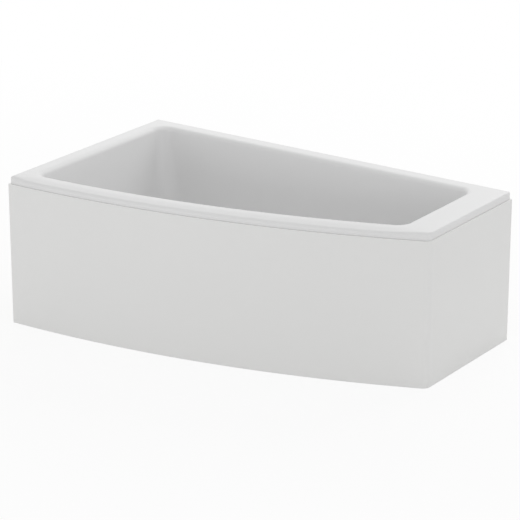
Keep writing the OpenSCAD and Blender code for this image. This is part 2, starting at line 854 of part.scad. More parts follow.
// Waste body: cup under the floor, with the overflow's inlet, the cable's gland and the outlet's spigot
module waste_body() {
    inlet_len = cup_r + inlet_out;
    gland_r = cable_r + gland_wall;
    color("whitesmoke") at_drain(0) difference() {
        union() {
            translate([0, 0, waste_top - waste_flange_t])
                cylinder(h = waste_flange_t, r = flange_r + 2 * seal_margin);
            translate([0, 0, cup_z]) cylinder(h = cup_h, r = cup_r);
            translate([0, 0, cup_z - spigot_h]) cylinder(h = spigot_h + past, r = outlet_r);
            translate([0, 0, inlet_z]) rotate([0, 90, 0]) cylinder(h = inlet_len, r = pipe_r + socket_wall);
            translate([0, cable_side - gland_r, inlet_z - gland_r])
                cube([cup_r + gland_len, 2 * gland_r, 2 * gland_r]);
        }
        translate([0, 0, cup_z + cup_wall]) cylinder(h = cup_h - cup_roof - cup_wall, r = cup_r - cup_wall);
        translate([0, 0, waste_top - cup_roof - past])
            cylinder(h = cup_roof + 2 * past, r = throat_r + fit);
        translate([0, 0, cup_z - spigot_h - past])
            cylinder(h = spigot_h + cup_wall + 2 * past, r = outlet_r - outlet_wall);
        translate([0, 0, inlet_z]) rotate([0, 90, 0])
            cylinder(h = inlet_len + past, r = pipe_r - pipe_wall);
        translate([cup_r + pipe_stop, 0, inlet_z]) rotate([0, 90, 0])
            cylinder(h = inlet_len, r = pipe_r + fit);
        translate([cup_r + push_gap, cable_side, inlet_z]) rotate([0, 90, 0])
            cylinder(h = gland_len, r = cable_r + fit);
    }
    color("whitesmoke") at_drain(cup_z) difference() {
        union() {
            spokes(cup_r - past, spoke_w, spoke_h);
            cylinder(h = pin_guide_h, r = pin_r + pin_guide_wall);
        }
        translate([0, 0, -past]) cylinder(h = pin_guide_h + 2 * past, r = pin_r + fit);
    }
}

// Plug: domed cap with its stem, a seal in the throat and the pin that lifts it
module plug_cap() {
    dome_r = (plug_r * plug_r + plug_rise * plug_rise) / (2 * plug_rise);
    color("gainsboro") at_drain(flange_top + seat) {
        intersection() {
            cylinder(h = plug_rise + plug_edge, r = plug_r);
            translate([0, 0, plug_rise + plug_edge - dome_r]) sphere(r = dome_r);
        }
        translate([0, 0, -hub_h]) cylinder(h = hub_h + past, r = seal_r - seal_w);
        translate([0, 0, -stem_len]) cylinder(h = stem_len + past, r = stem_r);
    }
}

module plug_seal() {
    color("dimgray") at_drain(flange_top + seat - seal_drop)
        ring_solid(seal_r, seal_r - seal_w + fit, seal_t);
}

module lift_pin() {
    top = flange_top + seat - stem_len;
    bottom = cup_z + pin_foot;
    color("gray") at_drain(bottom) cylinder(h = top - bottom, r = pin_r);
}

// Trap: body with a dip tube, a cup that unscrews, and the outlet to the wall
module trap_nut() {
    color("whitesmoke") at_drain(trap_lid + union_gap)
        ring_solid(outlet_r + socket_wall + union_wall, outlet_r + socket_wall + fit, union_h);
}

module trap_body() {
    socket_r = outlet_r + socket_wall;
    edge_z = trap_foot + trap_wall + union_gap;
    out_len = trap_r + trap_out_len;
    color("whitesmoke") at_drain(0) difference() {
        union() {
            translate([0, 0, edge_z]) cylinder(h = trap_lid - edge_z, r = trap_r);
            translate([0, 0, trap_lid - past]) cylinder(h = union_h + past, r = socket_r);
            translate([0, 0, trap_out_z]) rotate([-90, 0, 0]) cylinder(h = out_len, r = socket_r);
        }
        difference() {
            translate([0, 0, trap_foot])
                cylinder(h = trap_lid - trap_foot - trap_wall, r = trap_r - trap_wall);
            translate([0, 0, trap_foot]) cylinder(h = trap_h, r = outlet_r);
        }
        translate([0, 0, trap_foot]) cylinder(h = cup_z - trap_foot, r = outlet_r - outlet_wall);
        translate([0, 0, trap_foot]) cylinder(h = dip_up, r = outlet_r + past);
        translate([0, 0, cup_z - spigot_h - seat]) cylinder(h = spigot_h, r = outlet_r + fit);
        translate([0, outlet_r + past, trap_out_z]) rotate([-90, 0, 0])
            cylinder(h = out_len, r = outlet_r - outlet_wall);
        translate([0, trap_r + pipe_stop, trap_out_z]) rotate([-90, 0, 0])
            cylinder(h = out_len, r = outlet_r + fit);
    }
}

module trap_cup() {
    color("whitesmoke") at_drain(trap_foot) difference() {
        cylinder(h = trap_cup_h, r = trap_r + trap_wall);
        translate([0, 0, trap_wall]) cylinder(h = trap_cup_h, r = trap_r + fit);
    }
}

// Frame whose +Z runs along the outlet, from the trap's axis to the wall
module at_outlet(y) {
    translate([drain_x, drain_y + y, trap_out_z]) rotate([-90, 0, 0]) children();
}

module outlet_nut() {
    socket_r = outlet_r + socket_wall;
    color("whitesmoke") at_outlet(outlet_nut_end - union_h)
        ring_solid(socket_r + union_wall, socket_r + fit, union_h);
}

// Outlet pipe: pushed into the trap up to the mark, a shallow groove behind the nut
module outlet_pipe() {
    start = trap_r + pipe_stop + push_gap;
    end = wall_y - outlet_short - drain_y;
    color("whitesmoke") difference() {
        at_outlet(start) ring_solid(outlet_r, outlet_r - outlet_wall, end - start);
        at_outlet(outlet_nut_end + mark_gap) ring_solid(outlet_r + past, outlet_r - mark_deep, mark_w);
    }
}

// Foot of the overflow body, where the pipe is pushed in
overflow_pipe_x = rim_right - wall_inset(2, overflow_z) + pipe_drop * cos(draft_right);
overflow_axis_z = overflow_z - pipe_drop * sin(draft_right);
overflow_socket_z = overflow_axis_z - neck_len;
overflow_gland_z = overflow_axis_z - gland_h;
// End of the waste body's inlet, where the level stretch of the pipe starts to show
level_start = drain_x + cup_r + inlet_out + pipe_nut_lip;

// Overflow: gasket and body behind the wall, rose and knob in front of it
module overflow_gasket() {
    color("dimgray") at_overflow(gasket_back)
        ring_solid(overflow_hole_r + gasket_margin, barrel_r + fit, gasket_t);
}

module overflow_body() {
    gland_r = cable_r + gland_wall;
    color("whitesmoke") difference() {
        union() {
            at_overflow(gasket_back - waste_flange_t)
                cylinder(h = waste_flange_t, r = overflow_hole_r + gasket_margin + seal_margin);
            at_overflow(barrel_back) cylinder(h = -barrel_back - barrel_short, r = barrel_r);
            translate([overflow_pipe_x, drain_y, overflow_socket_z])
                cylinder(h = neck_len, r = pipe_r + socket_wall);
            translate([overflow_pipe_x - gland_r, drain_y, overflow_gland_z])
                cube([2 * gland_r, cable_side + gland_r, gland_h]);
        }
        at_overflow(barrel_back + barrel_wall) cylinder(h = -barrel_back, r = barrel_r - barrel_wall);
        translate([overflow_pipe_x, drain_y, overflow_socket_z - past])
            cylinder(h = neck_len, r = pipe_r - pipe_wall);
        translate([overflow_pipe_x, drain_y, overflow_socket_z - past])
            cylinder(h = neck_socket + past, r = pipe_r + fit);
        translate([overflow_pipe_x, drain_y + cable_side, overflow_gland_z - past])
            cylinder(h = gland_deep + past, r = cable_r + fit);
    }
    color("whitesmoke") at_overflow(barrel_back + past)
        ring_solid(spindle_r + bearing_wall, spindle_r + fit, bearing_len);
}

module overflow_rose() {
    inner = barrel_r - barrel_wall - rose_wall;
    color("gainsboro") at_overflow(0) difference() {
        union() {
            ring_solid(rose_r - rose_edge, inner, rose_t);
            translate([0, 0, -rose_collar])
                ring_solid(barrel_r - barrel_wall - fit, inner, rose_collar + past);
        }
        for (i = [1:rose_holes]) rotate([0, 0, i * 360 / rose_holes])
            translate([rose_r - rose_hole_in, 0, -past]) cylinder(h = rose_hole_deep + past, r = rose_hole_r);
    }
}

// Knob: hollow cap with a fluted edge that lets water in behind it, on a spindle with the cable's cam
module overflow_knob() {
    color("gainsboro") at_overflow(knob_gap) difference() {
        cylinder(h = knob_depth, r = rose_r);
        translate([0, 0, -past]) cylinder(h = knob_depth - knob_wall + past, r = rose_r - knob_wall);
        translate([0, 0, -past]) cylinder(h = spindle_in_knob + past, r = spindle_r + fit);
        for (i = [1:knob_grips]) rotate([0, 0, i * 360 / knob_grips])
            translate([rose_r + grip_out, 0, -past]) cylinder(h = knob_depth + 2 * past, r = grip_r);
    }
}

module knob_spindle() {
    back = barrel_back + barrel_wall + push_gap;
    color("gray") {
        at_overflow(back) cylinder(h = knob_gap + spindle_in_knob - back, r = spindle_r);
        at_overflow(back + cam_up) ring_solid(cam_r, spindle_r - past, cam_t);
    }
}

// Overflow pipe: down from the overflow body, one bend, and along to the waste body
module bent_run(r, side, top, foot) {
    translate([overflow_pipe_x, drain_y + side, inlet_z + pipe_bend])
        cylinder(h = top - inlet_z - pipe_bend, r = r);
    translate([overflow_pipe_x - pipe_bend, drain_y + side, inlet_z + pipe_bend]) rotate([90, 0, 0])
        rotate([0, 0, -90]) rotate_extrude(angle = 90) translate([pipe_bend, 0]) circle(r = r);
    translate([foot, drain_y + side, inlet_z]) rotate([0, 90, 0])
        cylinder(h = overflow_pipe_x - pipe_bend - foot, r = r);
}

module overflow_pipe() {
    top = overflow_socket_z + pipe_in;
    foot = drain_x + cup_r + pipe_stop + push_gap;
    color("whitesmoke") difference() {
        bent_run(pipe_r, 0, top, foot);
        bent_run(pipe_r - pipe_wall, 0, top + past, foot - past);
    }
}

// Pipe nuts: union nuts with an inward lip over the end of each socket
module pipe_nut() {
    socket_r = pipe_r + socket_wall;
    difference() {
        cylinder(h = pipe_nut_h, r = socket_r + pipe_nut_wall);
        translate([0, 0, pipe_nut_lip]) cylinder(h = pipe_nut_h, r = socket_r + fit);
        translate([0, 0, -past]) cylinder(h = pipe_nut_h, r = pipe_r + fit);
    }
}

module pipe_nuts() {
    color("whitesmoke") {
        translate([overflow_pipe_x, drain_y, overflow_socket_z - pipe_nut_lip]) pipe_nut();
        translate([level_start, drain_y, inlet_z]) rotate([0, -90, 0]) pipe_nut();
    }
}

// Control cable: sheath from the overflow body to the waste body, clipped to the pipe
module control_cable() {
    color("dimgray")
        bent_run(cable_r, cable_side, overflow_gland_z + cable_in, drain_x + cup_r + 2 * push_gap);
}

module cable_clip() {
    difference() {
        union() {
            cylinder(h = cable_clip_h, r = pipe_r + cable_clip_t);
            translate([0, cable_side, 0]) cylinder(h = cable_clip_h, r = cable_r + cable_clip_t);
            translate([-cable_web / 2, pipe_r, 0]) cube([cable_web, cable_side - pipe_r, cable_clip_h]);
        }
        translate([0, 0, -past]) cylinder(h = cable_clip_h + 2 * past, r = pipe_r + fit);
        translate([0, cable_side, -past]) cylinder(h = cable_clip_h + 2 * past, r = cable_r + fit);
    }
}

module cable_clips() {
    color("dimgray") {
        for (share = [0.25, 0.7])
            translate([overflow_pipe_x, drain_y, lerp(inlet_z + pipe_bend, overflow_socket_z, share)])
                cable_clip();
        translate([lerp(level_start, overflow_pipe_x - pipe_bend, 0.5), drain_y, inlet_z])
            rotate([0, 90, 0]) cable_clip();
    }
}

tub_shell();
grp_backing();
base_board();
back_batten();
left_batten();
front_batten();
deck_board();
wide_end_channel();
narrow_end_channel();
channel_screws();
weld_nuts();
lock_nuts();
foot_stud_1();
foot_stud_2();
foot_stud_3();
foot_stud_4();
foot_pad_1();
foot_pad_2();
foot_pad_3();
foot_pad_4();
apron();
apron_clips();
apron_clip_screws();
apron_brackets();
apron_bracket_screws();
wall_brackets();
drain_flange();
drain_upper_seal();
drain_lower_seal();
waste_body();
plug_cap();
plug_seal();
lift_pin();
trap_nut();
trap_body();
trap_cup();
outlet_nut();
outlet_pipe();
overflow_gasket();
overflow_body();
overflow_rose();
overflow_knob();
knob_spindle();
overflow_pipe();
pipe_nuts();
control_cable();
cable_clips();
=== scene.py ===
# %% [markdown]
# # A built-in bath with a wide and a narrow end
# This lesson dresses a packed construction model of an acrylic bath. The construction model
# already holds every board, bracket and pipe in its place. Here the surfaces that people look
# at are built again with smooth meshes, and each piece gets the finish of its real material.
# We load this model first, because the new pieces have to lie on it.

# %% Load the construction model
import json
import math

import bmesh
import bpy
import numpy as np
from mathutils import Matrix, Vector, noise


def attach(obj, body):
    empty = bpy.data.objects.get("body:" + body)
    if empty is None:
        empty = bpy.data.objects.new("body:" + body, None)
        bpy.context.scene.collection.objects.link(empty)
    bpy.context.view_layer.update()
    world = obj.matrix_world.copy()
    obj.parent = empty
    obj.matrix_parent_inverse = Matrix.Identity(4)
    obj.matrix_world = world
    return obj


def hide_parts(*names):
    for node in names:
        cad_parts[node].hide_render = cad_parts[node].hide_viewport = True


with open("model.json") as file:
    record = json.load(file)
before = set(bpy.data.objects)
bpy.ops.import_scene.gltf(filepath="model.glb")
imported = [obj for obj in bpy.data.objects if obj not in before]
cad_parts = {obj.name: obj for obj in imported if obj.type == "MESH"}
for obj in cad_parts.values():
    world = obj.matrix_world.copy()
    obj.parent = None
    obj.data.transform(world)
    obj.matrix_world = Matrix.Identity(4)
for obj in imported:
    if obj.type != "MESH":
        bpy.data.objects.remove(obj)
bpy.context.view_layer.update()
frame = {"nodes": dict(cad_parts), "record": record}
nodes = frame["nodes"]

# %% [markdown]
# ## Camera
# The photograph was taken from a long way off with a long lens, so the upright edges stay
# almost parallel. The lens and the place of the camera come from fitting the bath's straight
# edges to the picture.

# %% Camera
IMAGE_PX = 520
FOCAL_PX = 2415.47
CAMERA_PLACE = Vector((4.81486, -6.87254, 3.32601))
CAMERA_AZIMUTH = math.radians(34.9611)
CAMERA_TILT = math.radians(19.9364)

camera_data = bpy.data.cameras.new("camera")
camera_data.sensor_width = 36.0
camera_data.lens = FOCAL_PX * camera_data.sensor_width / IMAGE_PX
camera = bpy.data.objects.new("camera", camera_data)
camera.location = CAMERA_PLACE
camera.rotation_euler = (math.pi / 2 - CAMERA_TILT, 0, CAMERA_AZIMUTH)
bpy.context.scene.collection.objects.link(camera)
bpy.context.scene.camera = camera
print("lens in mm:", round(camera_data.lens, 1))

# %% [markdown]
# ## Sizes
# A smooth mesh has to lie on the construction model, so it is built from the same sizes, the
# drawing sizes of the bath in millimetres. Only the roll, the corners, the rim's edge and its
# crown lie a few millimetres off them, as the shading in the photograph shows. A list of four
# sides goes wide end, bowed front, narrow end, back. A list of four corners starts where the
# wide end meets the front, and goes the same way round.

# %% Sizes of the bath in millimetres
RIM_LENGTH = 1600
WIDE_END = 900
NARROW_END = 560
BOW_RADIUS = 4065
RIM_HEIGHT = 579
LIP_HEIGHT = 29
EDGE_RADII = (6, 15, 6, 6)
DECK = (47, 55, 104, 46)
SLOPE = (11, 8, 12, 7)
DECK_FALL = 0.5
CROWN = 6
CROWN_RUN_IN = (80, 180)
RIM_CORNERS = (4, 27, 4, 4)
ROLL_RADIUS = 22
BASIN_DEPTH = 430
FLOOR_RADIUS = 60
BASIN_CORNERS = (38, 50, 44, 50)
FLOOR_CORNER_RADIUS = 90
FLOOR_FALL = 8 / 1000
ACRYLIC = 5
PROUD = 6
BACK_JOINT = 4
APRON_HEIGHT = 549.6
APRON_SHEET = 4
APRON_TOP_SHEET = 5.6
DRAIN_FROM_END = 310
DRAIN_FROM_BACK = 300
LEAST_RADIUS = 0.5

LEFT, RIGHT = -RIM_LENGTH / 2, RIM_LENGTH / 2
half_chord = math.hypot(RIM_LENGTH, WIDE_END - NARROW_END) / 2
bow_rise = math.sqrt(BOW_RADIUS**2 - half_chord**2)
bow_x = -bow_rise * (WIDE_END - NARROW_END) / (2 * half_chord)
bow_back = bow_rise * RIM_LENGTH / (2 * half_chord) - (WIDE_END + NARROW_END) / 2
reach = math.sqrt((BOW_RADIUS + PROUD)**2 - (LEFT - PROUD - bow_x)**2) - bow_back
BACK = (reach - BACK_JOINT) / 2
bow_y = BACK + bow_back
WALL = BACK + BACK_JOINT
FLOOR_Z = RIM_HEIGHT - BASIN_DEPTH
LIP_Z = RIM_HEIGHT - LIP_HEIGHT
DRAIN = (RIGHT - DRAIN_FROM_END, BACK - DRAIN_FROM_BACK)
print("centre of the bow:", round(bow_x, 1), round(bow_y, 1), "back edge:", round(BACK, 2))

# %% [markdown]
# ## Loops round the plan
# A bath is one warm sheet sucked over a mould, so its whole surface is a family of closed loops
# that shrink from the rim down to the floor. One function draws such a loop: two straight ends,
# a straight back and a bowed front, joined by four corner rounds.

# %% One loop, and a mesh between loops
CORNER_STEPS = 22
BOW_STEPS = 84
SIDE_STEPS = 10


def mix(a, b, share):
    return a + (b - a) * share


def front_y(x, inset):
    return bow_y - math.sqrt((BOW_RADIUS - inset)**2 - (x - bow_x)**2)


def arc_points(centre, radius, turn, z, steps):
    points = []
    for i in range(steps + 1):
        angle = math.radians(mix(turn[0], turn[1], i / steps))
        points.append(Vector((centre[0] + radius * math.cos(angle),
                              centre[1] + radius * math.sin(angle), mix(z[0], z[1], i / steps))))
    return points


def loop_round(inset, z, radii):
    """A loop round the bath: an inset and a height for each side, a radius for each corner."""
    left, right, back = LEFT + inset[0], RIGHT - inset[2], BACK - inset[3]
    x0, x1 = left + radii[0], right - radii[1]
    c0, c1 = (x0, front_y(x0, inset[1] + radii[0])), (x1, front_y(x1, inset[1] + radii[1]))
    c2, c3 = (right - radii[2], back - radii[2]), (left + radii[3], back - radii[3])
    a0, a1 = [math.degrees(math.atan2(y - bow_y, x - bow_x)) for x, y in (c0, c1)]
    side_runs = [((right, c1[1]), (right, c2[1]), z[2]), ((c2[0], back), (c3[0], back), z[3]),
                 ((left, c3[1]), (left, c0[1]), z[0])]
    straight = [[Vector((mix(p[0], q[0], i / SIDE_STEPS), mix(p[1], q[1], i / SIDE_STEPS), height))
                 for i in range(1, SIDE_STEPS)] for p, q, height in side_runs]
    bow = arc_points((bow_x, bow_y), BOW_RADIUS - inset[1], (a0, a1), (z[1], z[1]), BOW_STEPS)[1:-1]
    return (arc_points(c0, radii[0], (180, 360 + a0), (z[0], z[1]), CORNER_STEPS) + bow
            + arc_points(c1, radii[1], (a1, 0), (z[1], z[2]), CORNER_STEPS) + straight[0]
            + arc_points(c2, radii[2], (0, 90), (z[2], z[3]), CORNER_STEPS) + straight[1]
            + arc_points(c3, radii[3], (90, 180), (z[3], z[0]), CORNER_STEPS) + straight[2])


def add_loop(mesh, points):
    return [mesh.verts.new(point / 1000) for point in points]


def bridge(mesh, first, second):
    count = len(first)
    for i in range(count):
        k = (i + 1) % count
        mesh.faces.new((first[i], second[i], second[k], first[k]))


def lay(mesh, loops):
    """Adds loops to a mesh, with a band of faces between each one and the next."""
    rows = [add_loop(mesh, loop) for loop in loops]
    for first, second in zip(rows, rows[1:]):
        bridge(mesh, first, second)
    return rows


print("points in a loop:", len(loop_round([0] * 4, [0] * 4, RIM_CORNERS)))

# %% [markdown]
# ## Colours and one helper for materials
# Paint charts and screens give colours as sRGB codes, while the renderer calculates in linear
# light. One function turns a code into linear numbers. Another adds a node to a material with
# its values, links, settings and colour stops, so each finish reads like a list. The record of
# the construction model gives each node a material slot, so the finishes go into one table by
# slot. It dresses the nodes that keep their shape, and the new pieces too.

# %% Colour and node helpers
def linear(code):
    channels = [int(code[i:i + 2], 16) / 255 for i in (1, 3, 5)]
    return tuple(c / 12.92 if c <= 0.04045 else ((c + 0.055) / 1.055)**2.4 for c in channels) + (1.0,)


def output(source):
    """A link starts at a named output of a node, or at its first one where only the node is given."""
    return source.outputs[0] if hasattr(source, "outputs") else source


def add_node(material, kind, values=None, links=None, settings=None, stops=None):
    """Adds a shader node of a kind: its socket values, links, properties and colour ramp stops."""
    node = material.node_tree.nodes.new("ShaderNode" + kind)
    for key, value in (settings or {}).items():
        setattr(node, key, value)
    for key, value in (values or {}).items():
        node.inputs[key].default_value = value
    for key, source in (links or {}).items():
        material.node_tree.links.new(output(source), node.inputs[key])
    for i, (position, code) in enumerate(stops or []):
        stop = node.color_ramp.elements[i] if i < 2 else node.color_ramp.elements.new(position)
        stop.position, stop.color = position, linear(code)
    return node


def new_material(name, colour, values):
    """A material, its shader with some values set, and the place on the object for its patterns."""
    material = bpy.data.materials.new(name)
    material.use_nodes = True
    shader = material.node_tree.nodes["Principled BSDF"]
    shader.inputs["Base Color"].default_value = linear(colour)
    for key, value in values.items():
        shader.inputs[key].default_value = value
    return material, shader, add_node(material, "TexCoord").outputs["Object"]


def feed(material, target, links):
    """Links the finished nodes to the shader, or to whatever shows them."""
    for key, source in links.items():
        material.node_tree.links.new(output(source), target.inputs[key])
    print("finish:", material.name, "nodes:", len(material.node_tree.nodes))
    return material


print("mid grey in linear light:", round(linear("#808080")[0], 3))

# %% [markdown]
# ## Acrylic
# The tub and the apron are cast acrylic, a hard plastic. The sheet follows its mould, so a
# reflection wobbles a little: makers call that orange peel. We start from the typical index of
# refraction of acrylic, 1.49, and add a very shallow bump with waves about 60 mm wide. New
# acrylic has a roughness near 0.1, but in the photograph no lamp shows in it, so the roughness
# was raised until it matched. A faint mottle of the roughness stands for wiping marks.

# %% Cast acrylic
ORANGE_PEEL = 0.060
WIPING_MARKS = 0.180
ACRYLIC_ROUGHNESS = 0.50


def cast_acrylic(name, colour):
    material, shader, place = new_material(name, colour, {"IOR": 1.49})
    wave = add_node(material, "TexNoise", {"Scale": 1 / ORANGE_PEEL, "Detail": 0.5}, {"Vector": place})
    peel = add_node(material, "Bump", {"Strength": 0.5, "Distance": 0.00005}, {"Height": wave})
    wiped = add_node(material, "TexNoise", {"Scale": 1 / WIPING_MARKS, "Detail": 2.0}, {"Vector": place})
    gloss = add_node(material, "MapRange",
                     {"To Min": ACRYLIC_ROUGHNESS * 0.92, "To Max": ACRYLIC_ROUGHNESS * 1.08},
                     {"Value": wiped})
    return feed(material, shader, {"Normal": peel, "Roughness": gloss})


finishes = {"acrylic": cast_acrylic("cast_acrylic", "#E4E4E4"),
            "apron_acrylic": cast_acrylic("cast_acrylic_apron", "#E6E6E5")}

# %% [markdown]
# ## Glass fibre
# Under the acrylic lies polyester resin with chopped glass strands, sprayed on and rolled by
# hand. It cures to a straw colour with a rough, shiny skin, and the strands show as short pale
# lines in all directions. Five noises, each stretched to strands 40 mm long and each turned
# another way, are laid over each other, and their maximum gives colour and bump. Real strands
# are 1 mm wide, here they are drawn 3 mm wide, so that they show from a few metres away.

# %% Sprayed glass fibre
STRAND_SIZE = (0.040, 0.003, 0.003)
STRAND_TURNS = ((0, 0), (60, 0), (120, 0), (0, 60), (0, 120))


def sprayed_glass_fibre():
    material, shader, place = new_material("sprayed_glass_fibre", "#CDC39C", {"IOR": 1.55, "Roughness": 0.42})
    strands = None
    for tip, spin in STRAND_TURNS:
        aligned = add_node(material, "Mapping",
                           {"Rotation": (0, math.radians(tip), math.radians(spin)), "Scale": STRAND_SIZE},
                           {"Vector": place}, {"vector_type": "TEXTURE"})
        layer = add_node(material, "TexNoise", {"Scale": 1.0, "Detail": 1.0}, {"Vector": aligned})
        if strands is not None:
            layer = add_node(material, "Math", None, {0: strands, 1: layer}, {"operation": "MAXIMUM"})
        strands = layer
    tint = add_node(material, "ValToRGB", None, {"Fac": strands},
                    stops=[(0.45, "#B5A878"), (0.75, "#E4DCBE"), (0.60, "#CDC39C")])
    skin = add_node(material, "Bump", {"Strength": 0.7, "Distance": 0.0008}, {"Height": strands})
    return feed(material, shader, {"Base Color": tint, "Normal": skin})


finishes["glass_fibre"] = sprayed_glass_fibre()

# %% [markdown]
# ## Chipboard and softwood
# The base board is raw chipboard: flat wood flakes 4 to 8 mm across, pressed and glued, each
# with its own shade. Cells of a Voronoi texture give every flake one random shade. The battens
# are planed softwood, whose grain runs along the strip: a noise that is stretched 25 times along
# the strip gives the yearly lines, and a finer one gives the pores. Both are dull, IOR 1.5.

# %% Chipboard and softwood
FLAKE_WIDTH = 0.006
GRAIN_LENGTH, GRAIN_WIDTH = 0.30, 0.012


def raw_chipboard():
    material, shader, place = new_material("raw_chipboard", "#B8935F", {"IOR": 1.5, "Roughness": 0.75})
    flakes = add_node(material, "TexVoronoi", {"Scale": 1 / FLAKE_WIDTH, "Randomness": 1.0},
                      {"Vector": place})
    shade = add_node(material, "SeparateColor", None, {"Color": flakes.outputs["Color"]})
    tint = add_node(material, "ValToRGB", None, {"Fac": shade},
                    stops=[(0.0, "#94703F"), (1.0, "#DDBF8E"), (0.5, "#BC9762")])
    rough = add_node(material, "Bump", {"Strength": 0.5, "Distance": 0.0003},
                     {"Height": flakes.outputs["Distance"]})
    return feed(material, shader, {"Base Color": tint, "Normal": rough})


def planed_softwood(name, grain):
    """Softwood whose lines are as wide along each axis as grain says, in metres."""
    material, shader, place = new_material(name, "#CFA874", {"IOR": 1.5, "Roughness": 0.62})
    along = add_node(material, "Mapping", {"Scale": tuple(1 / width for width in grain)}, {"Vector": place})
    lines = add_node(material, "TexNoise", {"Scale": 1.0, "Detail": 3.0, "Distortion": 0.6},
                     {"Vector": along})
    pores = add_node(material, "TexNoise", {"Scale": 9.0, "Detail": 2.0}, {"Vector": along})
    tint = add_node(material, "ValToRGB", None, {"Fac": lines},
                    stops=[(0.30, "#A9783F"), (0.70, "#DFC190"), (0.48, "#CFA56B")])
    planed = add_node(material, "Bump", {"Strength": 0.4, "Distance": 0.0002}, {"Height": pores})
    return feed(material, shader, {"Base Color": tint, "Normal": planed})


finishes["chipboard"] = raw_chipboard()
finishes["timber"] = planed_softwood("planed_softwood", (GRAIN_LENGTH, GRAIN_WIDTH, GRAIN_WIDTH))
cross_grain = planed_softwood("planed_softwood_across", (GRAIN_WIDTH, GRAIN_LENGTH, GRAIN_WIDTH))

# %% [markdown]
# ## Metals
# Hot-dip galvanised steel freezes into flat zinc crystals, the spangle, about 9 mm across. Each
# crystal has its own grey and gloss. Plated zinc has no crystals: it is thin, bright, and on
# screws slightly yellow. Spring steel is blued in hot oil, which leaves clouds of slate grey.
# Chrome plate is almost a mirror, and only its gloss wanders where it was wiped. All of them
# have metallic 1 and keep the default IOR, because a metal's colour carries its reflection.

# %% Galvanised and plated steel, spring steel and chrome
def clouded_metal(name, codes, size, roughness, crystals=False):
    """A metal whose shade and gloss vary in clouds, or in flat crystals, of a size in metres."""
    material, shader, place = new_material(name, codes[1], {"Metallic": 1.0})
    if crystals:
        cells = add_node(material, "TexVoronoi", {"Scale": 1 / size}, {"Vector": place})
        value = add_node(material, "SeparateColor", None, {"Color": cells.outputs["Color"]})
    else:
        value = add_node(material, "TexNoise", {"Scale": 1 / size, "Detail": 3.0}, {"Vector": place})
    tint = add_node(material, "ValToRGB", None, {"Fac": value},
                    stops=[(0.2, codes[0]), (0.8, codes[2]), (0.5, codes[1])])
    gloss = add_node(material, "MapRange", {"To Min": roughness[0], "To Max": roughness[1]},
                     {"Value": value})
    return feed(material, shader, {"Base Color": tint, "Roughness": gloss})


def turned_steel(name, marks):
    """Bright steel off the lathe: fine rings across the bar, drawn at 1 mm so that they show."""
    material, shader, place = new_material(name, "#C3C5C8", {"Metallic": 1.0, "Roughness": 0.28})
    across = add_node(material, "Mapping", {"Scale": tuple(1 / width for width in marks)},
                      {"Vector": place})
    rings = add_node(material, "TexNoise", {"Scale": 1.0, "Detail": 1.0}, {"Vector": across})
    cut = add_node(material, "Bump", {"Strength": 0.3, "Distance": 0.0001}, {"Height": rings})
    return feed(material, shader, {"Normal": cut})


metals = {
    "galvanised_steel": ("spangled_zinc", ("#A4A9AE", "#B4B9BD", "#C6CACD"), 0.009, (0.34, 0.52), True),
    "plated_screws": ("yellow_zinc_plate", ("#B29C58", "#C4B27A", "#B9B598"), 0.006, (0.28, 0.40)),
    "zinc_stud": ("bright_zinc_plate", ("#B9BDC1", "#C8CBCE", "#D6D8DA"), 0.012, (0.22, 0.34)),
    "spring_steel": ("blued_spring_steel", ("#39414B", "#4E5762", "#666E78"), 0.015, (0.26, 0.38)),
    "chrome": ("chrome_plate", ("#CDD0D3", "#D6D8DA", "#DEE0E1"), 0.050, (0.05, 0.11))}
for slot, recipe in metals.items():
    finishes[slot] = clouded_metal(*recipe)
finishes["steel_pin"] = turned_steel("turned_steel", (0.001, 0.020, 0.001))

# %% [markdown]
# ## Moulded plastic, rubber and cable sheath
# The waste and the pipes are moulded polypropylene, white with a satin skin. The pads are black
# nylon with a spark-eroded grain about 0.8 mm wide, the seals are dull black rubber and the
# cable's sheath is grey vinyl. All four are one recipe: a slightly cloudy colour and a fine
# grain. Their IOR lies between 1.50 and 1.53, and what sets them apart is roughness and colour.

# %% Moulded plastics and rubber
CLOUD_WIDTH = 0.030


def moulded(name, codes, grain, roughness, ior):
    """A moulded finish: two near colours in soft clouds, and a grain of a size in metres."""
    material, shader, place = new_material(name, codes[0], {"IOR": ior, "Roughness": roughness})
    cloud = add_node(material, "TexNoise", {"Scale": 1 / CLOUD_WIDTH, "Detail": 2.0}, {"Vector": place})
    tint = add_node(material, "ValToRGB", None, {"Fac": cloud}, stops=[(0.3, codes[0]), (0.7, codes[1])])
    fine = add_node(material, "TexNoise", {"Scale": 1 / grain, "Detail": 1.0}, {"Vector": place})
    skin = add_node(material, "Bump", {"Strength": 0.25, "Distance": grain / 8}, {"Height": fine})
    return feed(material, shader, {"Base Color": tint, "Normal": skin})


plastics = {
    "black_plastic": ("black_nylon", ("#18181A", "#202022"), 0.0008, 0.52, 1.53),
    "rubber": ("black_rubber", ("#121212", "#1A1A1A"), 0.0010, 0.78, 1.50),
    "white_plastic": ("white_polypropylene", ("#DEDEDA", "#E6E6E2"), 0.0006, 0.36, 1.50),
    "cable_sheath": ("grey_vinyl_sheath", ("#3A3A3C", "#434345"), 0.0012, 0.48, 1.52)}
for slot, recipe in plastics.items():
    finishes[slot] = moulded(*recipe)
print("slots with a finish:", len(finishes))

# %% [markdown]
# ## Helpers for turned, ribbed and drilled pieces
# Most fittings are turned or moulded round an axis, so one function turns a section, whose
# corners are rounded first, because a real edge always catches a line of light. Spokes and ribs
# are one block, repeated round the axis. Holes are drilled with a boolean cut, which is simpler
# than planning them in the mesh. The last helpers measure solids of the construction model.

# %% Helpers for fittings
UP = (0, 0, 1)
DRILL_REACH = 30
FLUTE_TOLERANCE = 0.01


